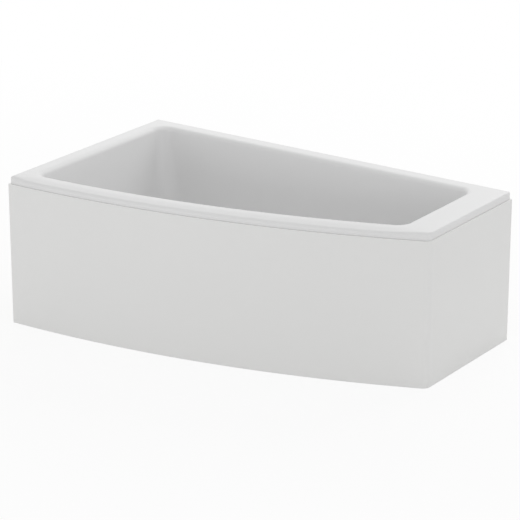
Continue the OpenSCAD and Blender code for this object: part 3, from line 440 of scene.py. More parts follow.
def to_object(name, mesh):
    data = bpy.data.meshes.new(name)
    mesh.to_mesh(data)
    mesh.free()
    thing = bpy.data.objects.new(name, data)
    bpy.context.scene.collection.objects.link(thing)
    return thing


def show(name, mesh, node, slot, body="root", smooth_angle=35):
    """Makes the piece that stands for a node, rides on its body and wears the finish of its slot."""
    bmesh.ops.recalc_face_normals(mesh, faces=mesh.faces)
    for face in mesh.faces:
        face.smooth = True
    for edge in mesh.edges:
        edge.smooth = len(edge.link_faces) == 2 and edge.calc_face_angle(0) < math.radians(smooth_angle)
    piece = to_object(name, mesh)
    piece.data.materials.append(finishes[slot])
    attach(piece, body)
    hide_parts(node)
    print(name, "faces:", len(piece.data.polygons))


def place_at(point, axis=UP):
    """Matrix in millimetres whose Z runs along an axis from a point."""
    return Matrix.Translation(Vector(point)) @ Vector(axis).to_track_quat("Z", "Y").to_matrix().to_4x4()


def rounded(corners, radii, closed=True, steps=4):
    """Replaces each corner of a section by a short curve, at most as far as half of its sides."""
    points, count = [], len(corners)
    for i, corner in enumerate(Vector(c) for c in corners):
        if radii[i] == 0 or (not closed and i in (0, count - 1)):
            points.append(corner)
            continue
        sides = [Vector(corners[(i + step) % count]) - corner for step in (-1, 1)]
        ends = [corner + side.normalized() * min(radii[i], side.length / 2) for side in sides]
        for k in range(steps + 1):
            t = k / steps
            points.append(ends[0] * (1 - t)**2 + corner * (2 * t * (1 - t)) + ends[1] * t**2)
    return points


def ring(place, z, radii):
    """A loop across the Z axis of a place, from its radius at each of its equal angles."""
    angles = [2 * math.pi * i / len(radii) for i in range(len(radii))]
    return [place @ Vector((r * math.cos(a), r * math.sin(a), z)) for r, a in zip(radii, angles)]


def cap_ends(mesh, rows):
    mesh.faces.new(rows[0])
    mesh.faces.new(reversed(rows[-1]))


def turned(mesh, place, corners, rounds, sides=64, closed=True, flutes=0, depth=0.0, steps=4):
    """Turns corners of (radius, height) round the Z axis of a place, fluted where they are widest."""
    section = rounded(corners, rounds, closed, steps)
    widest = max(point[0] for point in section)
    loops = []
    for radius, height in section:
        cut = depth / 2 if radius > widest - FLUTE_TOLERANCE else 0
        waves = [1 + math.cos(2 * math.pi * flutes * i / sides) for i in range(sides)]
        loops.append(ring(place, height, [radius - cut * wave for wave in waves]))
    rows = lay(mesh, loops)
    if closed:
        bridge(mesh, rows[-1], rows[0])
    else:
        cap_ends(mesh, rows)


def block(mesh, bottom, top):
    """A solid between two faces that have their corners in the same order."""
    cap_ends(mesh, lay(mesh, [bottom, top]))


def spokes(mesh, place, count, inner, outer, half_width, heights):
    """Blocks between an inner and an outer radius, spread evenly round the Z axis of a place."""
    plan = [(inner, -half_width), (outer, -half_width), (outer, half_width), (inner, half_width)]
    for k in range(count):
        spin = place @ Matrix.Rotation(2 * math.pi * k / count, 4, "Z")
        block(mesh, *[[spin @ Vector((x, y, z)) for x, y in plan] for z in heights])


def drilled(mesh, place, radius):
    """The mesh with a round hole along the Z axis of a place."""
    drill_mesh = bmesh.new()
    turned(drill_mesh, place, [(radius, -DRILL_REACH), (radius, DRILL_REACH)], [0, 0], 96, closed=False)
    for part in (drill_mesh, mesh):
        bmesh.ops.recalc_face_normals(part, faces=part.faces)
    work, drill = to_object("work", mesh), to_object("drill", drill_mesh)
    cut = work.modifiers.new("hole", "BOOLEAN")
    cut.operation, cut.solver, cut.object = "DIFFERENCE", "EXACT", drill
    bpy.context.view_layer.update()
    result = bmesh.new()
    result.from_mesh(work.evaluated_get(bpy.context.evaluated_depsgraph_get()).to_mesh())
    for thing in (work, drill):
        bpy.data.objects.remove(thing)
    return result


def solids(node):
    """Lowest and highest corners, in millimetres, of each separate solid of a construction node."""
    mesh = bmesh.new()
    mesh.from_mesh(nodes[node].data)
    bmesh.ops.remove_doubles(mesh, verts=mesh.verts, dist=1e-5)
    left, boxes = set(mesh.verts), []
    while left:
        reached, group = [left.pop()], []
        while reached:
            vert = reached.pop()
            group.append(vert.co * 1000)
            for edge in vert.link_edges:
                other = edge.other_vert(vert)
                if other in left:
                    left.remove(other)
                    reached.append(other)
        boxes.append([Vector([pick(p[axis] for p in group) for axis in range(3)]) for pick in (min, max)])
    mesh.free()
    return sorted(boxes, key=lambda box: tuple(box[0]))


def barrel(box, axis):
    """Foot, radius and length of a round solid in a box, along an axis such as (0, 0, 1)."""
    low, high = box
    along = [abs(c) for c in axis].index(1)
    across = (along + 1) % 3
    foot = (low + high) / 2
    foot[along] = low[along] if axis[along] > 0 else high[along]
    return foot, (high[across] - low[across]) / 2, high[along] - low[along]


# %% [markdown]
# ## Tub
# The real tub is one sheet 5 mm thick. Its upper face runs from the lip over the deck, rolls
# into the basin, falls to the floor and ends in the hole of the waste. Its lower face is the
# same surface moved outwards by the sheet's thickness. Both faces are laid as loops from round
# arcs, which are smooth without subdivision, and no dimension drifts. The deck along the bowed
# front is crowned: it falls by a few millimetres towards its outer edge, so it looks a little
# darker than the level decks in the photograph.

# %% Loops of the tub
ROLL_STEPS = 14
FLOOR_STEPS = 16
WALL_STEPS = 6
EDGE_STEPS = 6
DECK_STEPS = 6
EDGE_CLEARANCE = 0.3


def turn(side):
    return math.radians(SLOPE[side])


def wall_inset(side, z):
    start = DECK[side] + ROLL_RADIUS * math.cos(turn(side))
    return start + (RIM_HEIGHT - ROLL_RADIUS + ROLL_RADIUS * math.sin(turn(side)) - z) * math.tan(turn(side))


def floor_lift(x):
    return (DRAIN[0] - x) * FLOOR_FALL


def roll_loop(share, sheet):
    """A loop on the roll into the basin, from the level deck (0) to the slope of the walls (1)."""
    radius = ROLL_RADIUS - sheet
    angles = [math.radians((90 - slope) * share) for slope in SLOPE]
    wider = ROLL_RADIUS - radius * math.sin(math.radians((90 - sum(SLOPE) / 4) * share))
    return loop_round([deck + radius * math.sin(angle) for deck, angle in zip(DECK, angles)],
                      [RIM_HEIGHT - ROLL_RADIUS + radius * math.cos(angle) for angle in angles],
                      [corner + wider for corner in BASIN_CORNERS])


def floor_loop(share, sheet):
    """A loop on the round between the slope of the walls (0) and the tilted floor (1)."""
    radius = FLOOR_RADIUS + sheet
    mean = math.radians(sum(SLOPE) / 4)
    angles = [math.radians(mix(slope, 90, share)) for slope in SLOPE]
    lift = [floor_lift(LEFT + wall_inset(0, FLOOR_Z)), 0, floor_lift(RIGHT - wall_inset(2, FLOOR_Z)), 0]
    centre = [wall_inset(s, FLOOR_Z + FLOOR_RADIUS + lift[s]) + FLOOR_RADIUS / math.cos(turn(s))
              for s in range(4)]
    corner = (FLOOR_CORNER_RADIUS + radius * math.cos(mix(mean, math.pi / 2, share))
              - FLOOR_RADIUS * math.cos(mean))
    points = loop_round([centre[s] - radius * math.cos(angles[s]) for s in range(4)],
                        [FLOOR_Z + FLOOR_RADIUS - radius * math.sin(angle) for angle in angles],
                        [corner] * 4)
    return [Vector((p.x, p.y, p.z + floor_lift(p.x))) for p in points]


def basin_loops(sheet):
    roll = [roll_loop(i / ROLL_STEPS, sheet) for i in range(ROLL_STEPS + 1)]
    floor = [floor_loop(i / FLOOR_STEPS, sheet) for i in range(FLOOR_STEPS + 1)]
    wall = [[p.lerp(q, i / WALL_STEPS) for p, q in zip(roll[-1], floor[0])] for i in range(1, WALL_STEPS)]
    return roll + wall + floor


def crowned(points, share):
    """Lowers the bowed side of a loop by a share of the crown, which runs in from both corners."""
    first, last = CORNER_STEPS // 2, 3 * CORNER_STEPS // 2 + BOW_STEPS
    for point in points[first:last + 1]:
        run_in = min((point.x - LEFT) / CROWN_RUN_IN[0], (RIGHT - point.x) / CROWN_RUN_IN[1], 1.0)
        point.z -= CROWN * share * run_in**2 * (3 - 2 * run_in)
    return points


def corners_in(inset):
    return [max(RIM_CORNERS[s] - inset[s], LEAST_RADIUS) for s in range(4)]


def rim_loop(inset, down):
    return crowned(loop_round(inset, [RIM_HEIGHT - DECK_FALL - d for d in down], corners_in(inset)), 1.0)


def under_rim_loop(inset, down):
    """A loop under the rim, low enough to clear the round outer edge."""
    return rim_loop([inset] * 4, [down + EDGE_CLEARANCE * radius for radius in EDGE_RADII])


def rim_loops(sheet):
    """From the inner edge of the lip, round its foot and its top edge, over the deck."""
    loops = [under_rim_loop(sheet, sheet),
             loop_round([sheet] * 4, [LIP_Z] * 4, corners_in([sheet] * 4)),
             loop_round([0] * 4, [LIP_Z] * 4, RIM_CORNERS)]
    for i in range(EDGE_STEPS + 1):
        angle = math.radians(90 * i / EDGE_STEPS)
        loops.append(rim_loop([radius * (1 - math.cos(angle)) for radius in EDGE_RADII],
                              [radius * (1 - math.sin(angle)) for radius in EDGE_RADII]))
    corners = corners_in(EDGE_RADII)
    for i in range(1, DECK_STEPS):
        t = i / DECK_STEPS
        inset = [mix(EDGE_RADII[s], DECK[s], t) for s in range(4)]
        radii = [mix(corners[s], BASIN_CORNERS[s] + ROLL_RADIUS, t) for s in range(4)]
        loops.append(crowned(loop_round(inset, [RIM_HEIGHT - DECK_FALL * (1 - t)] * 4, radii), (1 - t)**2))
    return loops


print("loops in the basin:", len(basin_loops(0)))

# %% [markdown]
# The floor is a flat, slightly tilted face with a round recess for the waste. Filling between
# the outer loop and a circle round the waste keeps the long triangles on the flat part, and the
# small round edge of the recess gets rings of its own.

# %% Build the tub
RECESS_RADIUS = 39
RECESS_Z = FLOOR_Z - 3
RECESS_EDGE = ((2.5, 0), (1.2, 0.3), (0.4, 1.0), (0, 2.0))
RECESS_SIDES = 64
LEVEL_RADIUS, FINE_RADIUS = 62, 46
DRAIN_RADIUS = 26
OVERFLOW_RADIUS = 26
OVERFLOW_Z = RIM_HEIGHT - 95
OVERFLOW_AXIS = (-math.cos(turn(2)), 0, math.sin(turn(2)))
OVERFLOW = Vector((RIGHT - wall_inset(2, OVERFLOW_Z), DRAIN[1], OVERFLOW_Z))
overflow_place = place_at(OVERFLOW, OVERFLOW_AXIS)


def level_ring(radius, z):
    return arc_points(DRAIN, radius, (0, 360), (z, z), RECESS_SIDES)[:-1]


def floor_ring(radius, down=0):
    """A circle round the waste that lies on the tilted floor, or somewhat lower."""
    return [Vector((p.x, p.y, FLOOR_Z + floor_lift(p.x) - down)) for p in level_ring(radius, 0)]


def ring_edges(mesh, row):
    return [mesh.edges.get((row[i], row[(i + 1) % len(row)])) for i in range(len(row))]


def fill_between(mesh, outer, inner):
    bmesh.ops.triangle_fill(mesh, use_beauty=True, use_dissolve=False,
                            edges=ring_edges(mesh, outer) + ring_edges(mesh, inner))


tub_mesh = bmesh.new()
under = list(reversed(basin_loops(ACRYLIC)))
surface_rows = lay(tub_mesh, under + rim_loops(ACRYLIC) + basin_loops(0))
recess = [floor_ring(LEVEL_RADIUS), floor_ring(FINE_RADIUS)]
recess += [floor_ring(RECESS_RADIUS + out, down) for out, down in RECESS_EDGE]
recess += [level_ring(RECESS_RADIUS - 1, RECESS_Z), level_ring(DRAIN_RADIUS, RECESS_Z)]
recess += [level_ring(radius, RECESS_Z - ACRYLIC) for radius in (DRAIN_RADIUS, RECESS_RADIUS + ACRYLIC)]
recess += [floor_ring(radius, ACRYLIC) for radius in (RECESS_RADIUS + ACRYLIC, LEVEL_RADIUS)]
inner_rows = lay(tub_mesh, recess)
fill_between(tub_mesh, surface_rows[-1], inner_rows[0])
fill_between(tub_mesh, surface_rows[0], inner_rows[-1])
tub_mesh = drilled(tub_mesh, overflow_place, OVERFLOW_RADIUS)
show("tub", tub_mesh, "tub_shell", "acrylic")

# %% [markdown]
# ## Glass fibre backing
# The backing is laid from the same loops as the sheet, a little further out, so the two never
# cross. It is rolled by hand and never as even as its mould: a noise moves its free side
# inwards by up to 0.8 mm. It stays open round the waste and the overflow, where fittings clamp.

# %% Build the backing
BACKING_GAP = 0.3
BACKING_IN = ACRYLIC + BACKING_GAP
BACKING_SHEET = 3
BACKING_OUT = BACKING_IN + BACKING_SHEET
BACKING_EDGE = ACRYLIC + 2
WASTE_OPENING = RECESS_RADIUS + ACRYLIC + 2
OVERFLOW_OPENING = 40
HAND_LAID = 0.8
HAND_WIDTH = 28


def hand_laid(outer, inner):
    """Moves each point of the outer loop towards the inner one by an uneven share."""
    shares = [HAND_LAID / BACKING_SHEET * (0.5 + 0.5 * noise.noise(p / HAND_WIDTH)) for p in outer]
    return [p.lerp(q, share) for p, q, share in zip(outer, inner, shares)]


backing_mesh = bmesh.new()
near_side, far_side = basin_loops(BACKING_IN), basin_loops(BACKING_OUT)
rough_side = [hand_laid(outer, inner) for outer, inner in zip(far_side, near_side)]
edge_loops = [under_rim_loop(BACKING_EDGE, down) for down in (BACKING_OUT, BACKING_IN)]
backing_rows = lay(backing_mesh, list(reversed(rough_side)) + edge_loops + near_side)
waste_rows = lay(backing_mesh, [floor_ring(WASTE_OPENING, down) for down in (BACKING_IN, BACKING_OUT)])
fill_between(backing_mesh, backing_rows[-1], waste_rows[0])
fill_between(backing_mesh, backing_rows[0], waste_rows[-1])
backing_mesh = drilled(backing_mesh, overflow_place, OVERFLOW_OPENING)
show("backing", backing_mesh, "grp_backing", "glass_fibre")

# %% [markdown]
# ## Apron
# The apron is one formed sheet: a tall face, a flange at the top and one at the foot, and narrow
# flanges where it ends at the walls. Its section is a C, swept along the bow and round the free
# corner. Its top edge comes close under the lip, so only a thin, slightly darker line shows.

# %% Build the apron
APRON_CORNER = 30
APRON_CORNER_STEPS, APRON_END_STEPS = 14, 6
TOP_FLANGE = 34
FOOT_FLANGE = 26


def apron_line(inset, z):
    """Points along the apron at an inset from its face, from the wide end to the back wall."""
    radius = max(APRON_CORNER - inset, LEAST_RADIUS)
    face_x, end_x, bow = RIGHT + PROUD - inset, LEFT - PROUD, BOW_RADIUS + PROUD - inset
    centre_x = face_x - radius
    centre_y = front_y(centre_x, inset - PROUD + radius)
    a0 = math.degrees(math.atan2(-math.sqrt(bow**2 - (end_x - bow_x)**2), end_x - bow_x))
    a1 = math.degrees(math.atan2(centre_y - bow_y, centre_x - bow_x))
    end = [Vector((face_x, mix(centre_y, WALL, i / APRON_END_STEPS), z))
           for i in range(1, APRON_END_STEPS + 1)]
    return (arc_points((bow_x, bow_y), bow, (a0, a1), (z, z), BOW_STEPS)
            + arc_points((centre_x, centre_y), radius, (a1, 0), (z, z), APRON_CORNER_STEPS)[1:] + end)


def bridge_open(mesh, first, second):
    for i in range(len(first) - 1):
        mesh.faces.new((first[i], second[i], second[i + 1], first[i + 1]))


apron_mesh = bmesh.new()
sheet, high = APRON_SHEET, APRON_HEIGHT
under_top = high - APRON_TOP_SHEET
section = rounded([(0, 0), (0, high), (TOP_FLANGE, high), (TOP_FLANGE, under_top), (sheet, under_top),
                   (sheet, sheet), (FOOT_FLANGE, sheet), (FOOT_FLANGE, 0)],
                  [2, 2.5, 0.8, 0.8, 4, 4, 0.8, 0.8])
apron_rows = [add_loop(apron_mesh, apron_line(inset, z)) for inset, z in section]
for first, second in zip(apron_rows, apron_rows[1:] + apron_rows[:1]):
    bridge_open(apron_mesh, first, second)
apron_mesh.faces.new([row[0] for row in apron_rows])
apron_mesh.faces.new([row[-1] for row in reversed(apron_rows)])

end_flange = [(0, sheet), (sheet, sheet), (sheet, FOOT_FLANGE), (0, FOOT_FLANGE)]
wide_end_flange = [(LEFT - PROUD + step, front_y(LEFT - PROUD + step, inset - PROUD))
                   for step, inset in end_flange]
back_flange = [(RIGHT + PROUD - inset, WALL - step) for step, inset in end_flange]
for plan in (wide_end_flange, back_flange):
    block(apron_mesh, *[[Vector((x, y, z)) for x, y in plan] for z in (sheet, under_top)])
show("apron", apron_mesh, "apron", "apron_acrylic")

# %% [markdown]
# ## Waste flange and plug
# The flange is chromed brass, turned on a lathe and pressed into its recess, with three spokes
# that guide the stem. The plug is a shallow dome that covers it, and moves with its own body.

# %% Build the waste flange and the plug
FLANGE_Z = RECESS_Z + 1.5
FLANGE_RADIUS, FLANGE_SHEET = 35, 2
THROAT_OUT, THROAT_IN, THROAT_DEPTH = 22, 20, 30
GUIDE_Z, GUIDE_WALL, GUIDE_HEIGHT = FLANGE_Z - 18, 3, 10
SPOKE_HALF, SPOKE_HEIGHT, SPOKE_OVERLAP = 1.5, 5, 0.5
PLUG_Z = FLANGE_Z + 2.3
PLUG_RADIUS, PLUG_RISE, PLUG_EDGE, DOME_START = 30, 5, 2, 0.8
NECK_RADIUS, NECK_DEPTH = 16.7, 6
STEM_RADIUS, STEM_LENGTH, STEM_PLAY = 4, 30, 0.05

flange_mesh = bmesh.new()
turned(flange_mesh, place_at((*DRAIN, FLANGE_Z)),
       [(THROAT_IN, -THROAT_DEPTH), (THROAT_OUT, -THROAT_DEPTH), (THROAT_OUT, 0), (FLANGE_RADIUS, 0),
        (FLANGE_RADIUS, FLANGE_SHEET), (THROAT_IN, FLANGE_SHEET)], [0.5, 0.5, 0.5, 0.4, 1.2, 1.5], 96)
guide_place = place_at((*DRAIN, GUIDE_Z))
guide_in, guide_out = STEM_RADIUS + STEM_PLAY, STEM_RADIUS + GUIDE_WALL
turned(flange_mesh, guide_place,
       [(guide_in, 0), (guide_out, 0), (guide_out, GUIDE_HEIGHT), (guide_in, GUIDE_HEIGHT)], [0.4] * 4)
spokes(flange_mesh, guide_place, 3, guide_out - SPOKE_OVERLAP, THROAT_IN + SPOKE_OVERLAP, SPOKE_HALF,
       (0, SPOKE_HEIGHT))
show("waste_flange", flange_mesh, "drain_flange", "chrome")

dome = (PLUG_RADIUS**2 + PLUG_RISE**2) / (2 * PLUG_RISE)
crown = [(r, PLUG_RISE + PLUG_EDGE - dome + math.sqrt(dome**2 - r**2))
         for r in np.linspace(PLUG_RADIUS - DOME_START, LEAST_RADIUS, 12)]
plug_section = [(LEAST_RADIUS, -STEM_LENGTH), (STEM_RADIUS, -STEM_LENGTH), (STEM_RADIUS, -NECK_DEPTH),
                (NECK_RADIUS, -NECK_DEPTH), (NECK_RADIUS, 0), (PLUG_RADIUS, 0), (PLUG_RADIUS, PLUG_EDGE)]
plug_rounds = [0, 0.6, 1.5, 0.8, 0.3, 0.5, 0.8] + [0] * len(crown)
plug_mesh = bmesh.new()
turned(plug_mesh, place_at((*DRAIN, PLUG_Z)), plug_section + crown, plug_rounds, 96, closed=False)
show("waste_plug", plug_mesh, "plug_cap", "chrome", "plug")

# %% [markdown]
# ## Overflow rose and knob
# Behind the knob a chromed ring clamps the sheet against the gasket. The knob is a hollow cap
# with a fluted edge and a slightly dished face; turning it pulls the cable that lifts the plug.
# Water enters through the gap behind its edge, so the cap is left open at the back.

# %% Build the overflow
ROSE_RADIUS, ROSE_IN, ROSE_SHEET = 33, 17.5, 3
COLLAR_RADIUS, COLLAR_DEPTH = 20.45, 14
KNOB_RADIUS, KNOB_IN, KNOB_DEPTH, KNOB_HOLLOW, KNOB_GAP = 34, 31, 12, 9, 7
SPINDLE_BORE, BORE_END = 5.1, 10
DISH_RADIUS, DISH_DEPTH = 28, 0.8
KNOB_FLUTES, KNOB_FLUTE_DEPTH = 24, 0.8

rose_mesh = bmesh.new()
turned(rose_mesh, overflow_place,
       [(ROSE_IN, -COLLAR_DEPTH), (COLLAR_RADIUS, -COLLAR_DEPTH), (COLLAR_RADIUS, 0), (ROSE_RADIUS, 0),
        (ROSE_RADIUS, ROSE_SHEET), (ROSE_IN, ROSE_SHEET)], [0.5, 0.5, 0.3, 0.3, 1.5, 1.5], 96)
show("overflow_ring", rose_mesh, "overflow_rose", "chrome")

dish = [(r, KNOB_DEPTH - DISH_DEPTH * (1 - (r / DISH_RADIUS)**2))
        for r in np.linspace(LEAST_RADIUS, DISH_RADIUS, 8)]
knob_section = dish + [(KNOB_RADIUS, KNOB_DEPTH), (KNOB_RADIUS, 0), (KNOB_IN, 0), (KNOB_IN, KNOB_HOLLOW),
                       (SPINDLE_BORE, KNOB_HOLLOW), (SPINDLE_BORE, BORE_END), (LEAST_RADIUS, BORE_END)]
knob_rounds = [0] * len(dish) + [3.0, 0.5, 0.5, 2, 0, 0, 0]
knob_mesh = bmesh.new()
turned(knob_mesh, place_at(OVERFLOW + KNOB_GAP * Vector(OVERFLOW_AXIS), OVERFLOW_AXIS),
       knob_section, knob_rounds, 192, False, KNOB_FLUTES, KNOB_FLUTE_DEPTH)
show("overflow_dial", knob_mesh, "overflow_knob", "chrome", "knob", smooth_angle=40)

# %% [markdown]
# ## Feet
# Each foot is a threaded stud with a hexagon collar for the spanner, and a ribbed nylon pad. The
# thread is real geometry: the radius rises and falls once in each pitch of 1.75 mm, and the
# phase turns with the angle, so it is a right-hand screw like the joint in the frame.

# %% Build the feet
STUD_RADIUS, THREAD_DEPTH, THREAD_PITCH = 6, 0.9, 1.75
TIP_LENGTH, TIP_TAPER = 1.5, 0.5
THREAD_SIDES, STEPS_PER_PITCH = 18, 4
COLLAR_IN, COLLAR_Z, COLLAR_HEIGHT, COLLAR_FLATS = 4, 30, 8, 19
COLLAR_CORNER = COLLAR_FLATS / 2 / math.cos(math.radians(30))
PAD_HEIGHT, PAD_WEB, PAD_RIM = 10, 5, 2.5
BOSS_RADIUS, BOSS_TOP, SOCKET_Z, SOCKET_PLAY = 11, 26, 6, 0.05
RIBS, RIB_HALF, RIB_OVERLAP, RIB_DROP = 8, 1, 1, 0.5


def thread(mesh, place, start, end):
    """A right-hand thread whose radius falls and rises once in each pitch, with a tapered tip."""
    count = round((end - start) / THREAD_PITCH * STEPS_PER_PITCH)
    loops = []
    for j in range(count + 1):
        z = mix(start, end, j / count)
        taper = max(0.0, z - (end - TIP_LENGTH)) * TIP_TAPER
        phases = [(z / THREAD_PITCH - i / THREAD_SIDES) % 1 for i in range(THREAD_SIDES)]
        radii = [STUD_RADIUS - THREAD_DEPTH * abs(2 * phase - 1) - taper for phase in phases]
        loops.append(ring(place, z, radii))
    cap_ends(mesh, lay(mesh, loops))


for n in range(1, 5):
    stud_low, stud_high = solids(f"foot_stud_{n}")[0]
    stand = place_at(((stud_low.x + stud_high.x) / 2, (stud_low.y + stud_high.y) / 2, 0))
    stud_mesh = bmesh.new()
    thread(stud_mesh, stand, stud_low.z, stud_high.z)
    collar = [(COLLAR_IN, COLLAR_Z), (COLLAR_CORNER, COLLAR_Z), (COLLAR_CORNER, COLLAR_Z + COLLAR_HEIGHT),
              (COLLAR_IN, COLLAR_Z + COLLAR_HEIGHT)]
    turned(stud_mesh, stand, collar, [0, 1, 1, 0], 6, steps=2)
    show(f"stud_{n}", stud_mesh, f"foot_stud_{n}", "zinc_stud", f"stud_{n}", smooth_angle=25)

    pad_radius = barrel(solids(f"foot_pad_{n}")[0], UP)[1]
    rim_in, socket = pad_radius - PAD_RIM, STUD_RADIUS + SOCKET_PLAY
    pad_section = [(LEAST_RADIUS, 0), (pad_radius, 0), (pad_radius, PAD_HEIGHT), (rim_in, PAD_HEIGHT),
                   (rim_in, PAD_WEB), (BOSS_RADIUS, PAD_WEB), (BOSS_RADIUS, BOSS_TOP), (socket, BOSS_TOP),
                   (socket, SOCKET_Z), (LEAST_RADIUS, SOCKET_Z)]
    pad_mesh = bmesh.new()
    turned(pad_mesh, stand, pad_section, [0, 1, 1.2, 0.8, 0.8, 1.5, 1, 0.5, 0, 0], closed=False)
    spokes(pad_mesh, stand, RIBS, BOSS_RADIUS - RIB_OVERLAP, pad_radius - RIB_OVERLAP, RIB_HALF,
           (PAD_WEB - RIB_OVERLAP, PAD_HEIGHT - RIB_DROP))
    show(f"pad_{n}", pad_mesh, f"foot_pad_{n}", "black_plastic", f"foot_{n}")

# %% [markdown]
# ## Screws
# All screws are pan-head wood screws. Their recess is a cross of twelve points, and narrows
# downwards. The construction model tells where each screw lies: its head is on the side from
# which the screwdriver comes.

# %% Build the screws
HEAD_RADIUS, HEAD_HEIGHT, HEAD_TOP, SHANK_RADIUS = 5, 3, 3.4, 2.5
CROSS_ARM, CROSS_HALF, CROSS_DEPTH, CROSS_TAPER = 2.6, 0.6, 1.8, 0.55
SCREW_SIDES = 24


def cross_loop(place, scale, z):
    points = []
    for k in range(4):
        spin = Matrix.Rotation(math.radians(90 * k), 4, "Z")
        for x, y in ((CROSS_ARM, -CROSS_HALF), (CROSS_ARM, CROSS_HALF), (CROSS_HALF, CROSS_HALF)):
            points.append(place @ (spin @ Vector((x * scale, y * scale, z))))
    return points


def screw(mesh, place, length):
    """A screw whose head's bearing face lies at the place, with its shank along Z."""
    outline = rounded([(HEAD_TOP, -HEAD_HEIGHT), (HEAD_RADIUS, -HEAD_HEIGHT), (HEAD_RADIUS, 0),
                       (SHANK_RADIUS, 0), (SHANK_RADIUS, length)], [0, 1.6, 0.3, 0, 0], closed=False)
    rows = lay(mesh, [ring(place, z, [radius] * SCREW_SIDES) for radius, z in outline])
    mesh.faces.new(rows[-1])
    mouth, bottom = lay(mesh, [cross_loop(place, 1.0, -HEAD_HEIGHT),
                               cross_loop(place, CROSS_TAPER, CROSS_DEPTH - HEAD_HEIGHT)])
    mesh.faces.new(bottom)
    fill_between(mesh, rows[0], mouth)


def place_screws(name, node, axis):
    mesh = bmesh.new()
    for box in solids(node):
        foot, _, length = barrel(box, axis)
        screw(mesh, place_at(foot + Vector(axis) * HEAD_HEIGHT, axis), length - HEAD_HEIGHT)
    show(name, mesh, node, "plated_screws")


place_screws("board_screws", "channel_screws", UP)
place_screws("clip_screws", "apron_clip_screws", UP)
place_screws("bracket_screws", "apron_bracket_screws", (-1, 0, 0))

# %% [markdown]
# ## Union nuts
# The plumbing is joined by hand-tight union nuts with finger grips all round. They are turned
# sections whose widest part is fluted, and each one is measured on its construction node.

# %% Build the union nuts
NUT_WALL, LIPPED_NUT_WALL, THIN_WALL = 4.95, 5.95, 2.95
NUT_LIP, CUP_FLOOR = 2, 3
NUT_FLUTE_DEPTH, SIDES_PER_FLUTE = 1.2, 8


def plain_nut(radius, length):
    wall = radius - NUT_WALL
    return [(wall, 0), (radius, 0), (radius, length), (wall, length)], [0.4, 1, 1, 0.4], True


def lipped_nut(radius, length):
    lip, wall = radius - LIPPED_NUT_WALL, radius - THIN_WALL
    return ([(lip, 0), (radius, 0), (radius, length), (wall, length), (wall, NUT_LIP), (lip, NUT_LIP)],
            [0.4, 1, 1, 0.4, 0, 0.4], True)


def trap_bottom(radius, length):
    wall = radius - THIN_WALL
    return ([(LEAST_RADIUS, 0), (radius, 0), (radius, length), (wall, length), (wall, CUP_FLOOR),
             (LEAST_RADIUS, CUP_FLOOR)], [0, 2, 1, 0.5, 1, 0], False)


def union_nut(name, node, axes, section_of, flutes=20):
    """Fluted nuts in place of a node's solids, each along its own axis."""
    mesh = bmesh.new()
    for box, axis in zip(solids(node), axes):
        foot, radius, length = barrel(box, axis)
        corners, rounds, closed = section_of(radius, length)
        turned(mesh, place_at(foot, axis), corners, rounds, flutes * SIDES_PER_FLUTE, closed, flutes,
               NUT_FLUTE_DEPTH)
    show(name, mesh, node, "white_plastic", smooth_angle=50)


union_nut("trap_union", "trap_nut", [UP], plain_nut)
union_nut("outlet_union", "outlet_nut", [(0, 1, 0)], plain_nut)
union_nut("overflow_unions", "pipe_nuts", [(-1, 0, 0), UP], lipped_nut)
union_nut("trap_bottom", "trap_cup", [UP], trap_bottom, flutes=30)

# %% [markdown]
# ## The nodes that keep their shape
# Boards, battens, brackets, channels, seals and pipes are already as the real ones are, so they
# stay construction nodes and only get their finish. Two of the timber strips run across the
# bath, and take the softwood whose grain lies that way.

# %% Dress the construction nodes
ACROSS_THE_BATH = ("left_batten", "deck_board")
kept = [part for part in frame["record"]["subparts"] if not nodes[part["node"]].hide_render]
for part in kept:
    finish = cross_grain if part["node"] in ACROSS_THE_BATH else finishes[part["material_slot"]]
    for material_slot in nodes[part["node"]].material_slots:
        material_slot.material = finish
print("construction nodes that stay:", len(kept))

# %% [markdown]
# ## Studio
# In the photograph the level decks are the brightest faces, the front and the end have one
# grey, and every face that leans towards the viewer is darker. So the strongest light comes
# from behind and above, with a weaker lamp at its left. Low lamps in front and on the right
# light the apron, a weak one overhead reaches into the basin, and the world fills in the rest.
# The strengths were found by rendering the bath with each lamp alone and solving for the mix
# that gives the greys of the picture. Rays that look straight at the studio, or see it
# mirrored, find it white. The rays that light the bath find a plain floor.

# %% Lamps
LAMPS = {
    "back_lamp": ((0.2, 4.4, 4.0), (0.0, 0.0, 0.4), (4.0, 2.6), 92),
    "left_lamp": ((-4.5, 3.6, 3.6), (0.0, 0.0, 0.4), (3.0, 1.6), 40),
    "overhead_lamp": ((0.2, 0.2, 4.0), (0.0, 0.0, 0.3), (3.5, 3.0), 14),
    "front_lamp": ((-1.2, -5.0, 0.9), (0.0, -0.3, 0.25), (4.0, 1.5), 42),
    "right_lamp": ((5.0, -0.6, 0.9), (0.8, 0.1, 0.25), (3.5, 1.5), 26)}

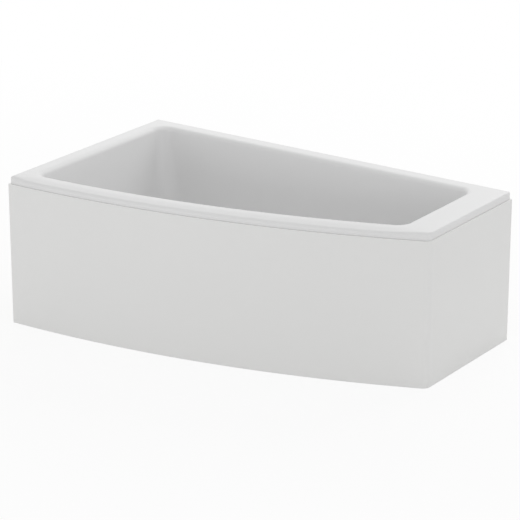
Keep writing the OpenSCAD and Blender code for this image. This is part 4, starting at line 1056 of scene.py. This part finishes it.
for name, (place, target, size, watts) in LAMPS.items():
    data = bpy.data.lights.new(name, "AREA")
    data.shape = "RECTANGLE"
    data.size, data.size_y = size
    data.energy = watts
    lamp = bpy.data.objects.new(name, data)
    lamp.location = place
    lamp.rotation_euler = (Vector(target) - Vector(place)).to_track_quat("-Z", "Y").to_euler()
    bpy.context.scene.collection.objects.link(lamp)
print("lamps:", len(LAMPS), "watts in all:", sum(lamp[-1] for lamp in LAMPS.values()))

# %% World and floor
WHITE = (1, 1, 1, 1)
WORLD_STRENGTH = 0.59
FLOOR_GAP = 0.0005
FLOOR_SIZE = 30
FLOOR_WHITE = 0.88
FADE = (1.2, 4.0)


def direct_view(material):
    """1 for rays that look straight at the studio or see it mirrored, 0 for those that light the bath."""
    seen = add_node(material, "LightPath")
    share = seen.outputs["Is Camera Ray"]
    for ray in ("Is Glossy Ray", "Is Transmission Ray"):
        share = add_node(material, "Math", None, {0: share, 1: seen.outputs[ray]}, {"operation": "MAXIMUM"})
    return share


world = bpy.data.worlds.new("studio")
bpy.context.scene.world = world
world.use_nodes = True
fill = world.node_tree.nodes["Background"]
fill.inputs["Color"].default_value = WHITE
fill.inputs["Strength"].default_value = WORLD_STRENGTH
white = add_node(world, "Background", {"Color": WHITE, "Strength": 1.0})
wall = add_node(world, "MixShader", None, {0: direct_view(world), 1: fill, 2: white})
feed(world, world.node_tree.nodes["World Output"], {"Surface": wall})

paint, shader, place = new_material("studio_floor", "#F4F4F4", {"Roughness": 1.0, "Specular IOR Level": 0.0})
distance = add_node(paint, "VectorMath", None, {0: place}, {"operation": "LENGTH"})
whiteness = add_node(paint, "MapRange",
                     {"From Min": FADE[0], "From Max": FADE[1], "To Min": FLOOR_WHITE, "To Max": 1.0},
                     {"Value": distance.outputs["Value"]})
share = add_node(paint, "Math", None, {0: direct_view(paint), 1: whiteness}, {"operation": "MULTIPLY"})
glow = add_node(paint, "Emission", {"Color": WHITE, "Strength": 1.0})
blend = add_node(paint, "MixShader", None, {0: share, 1: shader, 2: glow})
feed(paint, paint.node_tree.nodes["Material Output"], {"Surface": blend})

floor_mesh = bmesh.new()
bmesh.ops.create_grid(floor_mesh, x_segments=2, y_segments=2, size=FLOOR_SIZE)
floor = to_object("studio_floor", floor_mesh)
floor.location.z = -FLOOR_GAP
floor.data.materials.append(paint)

bpy.context.scene.view_settings.view_transform = "Standard"
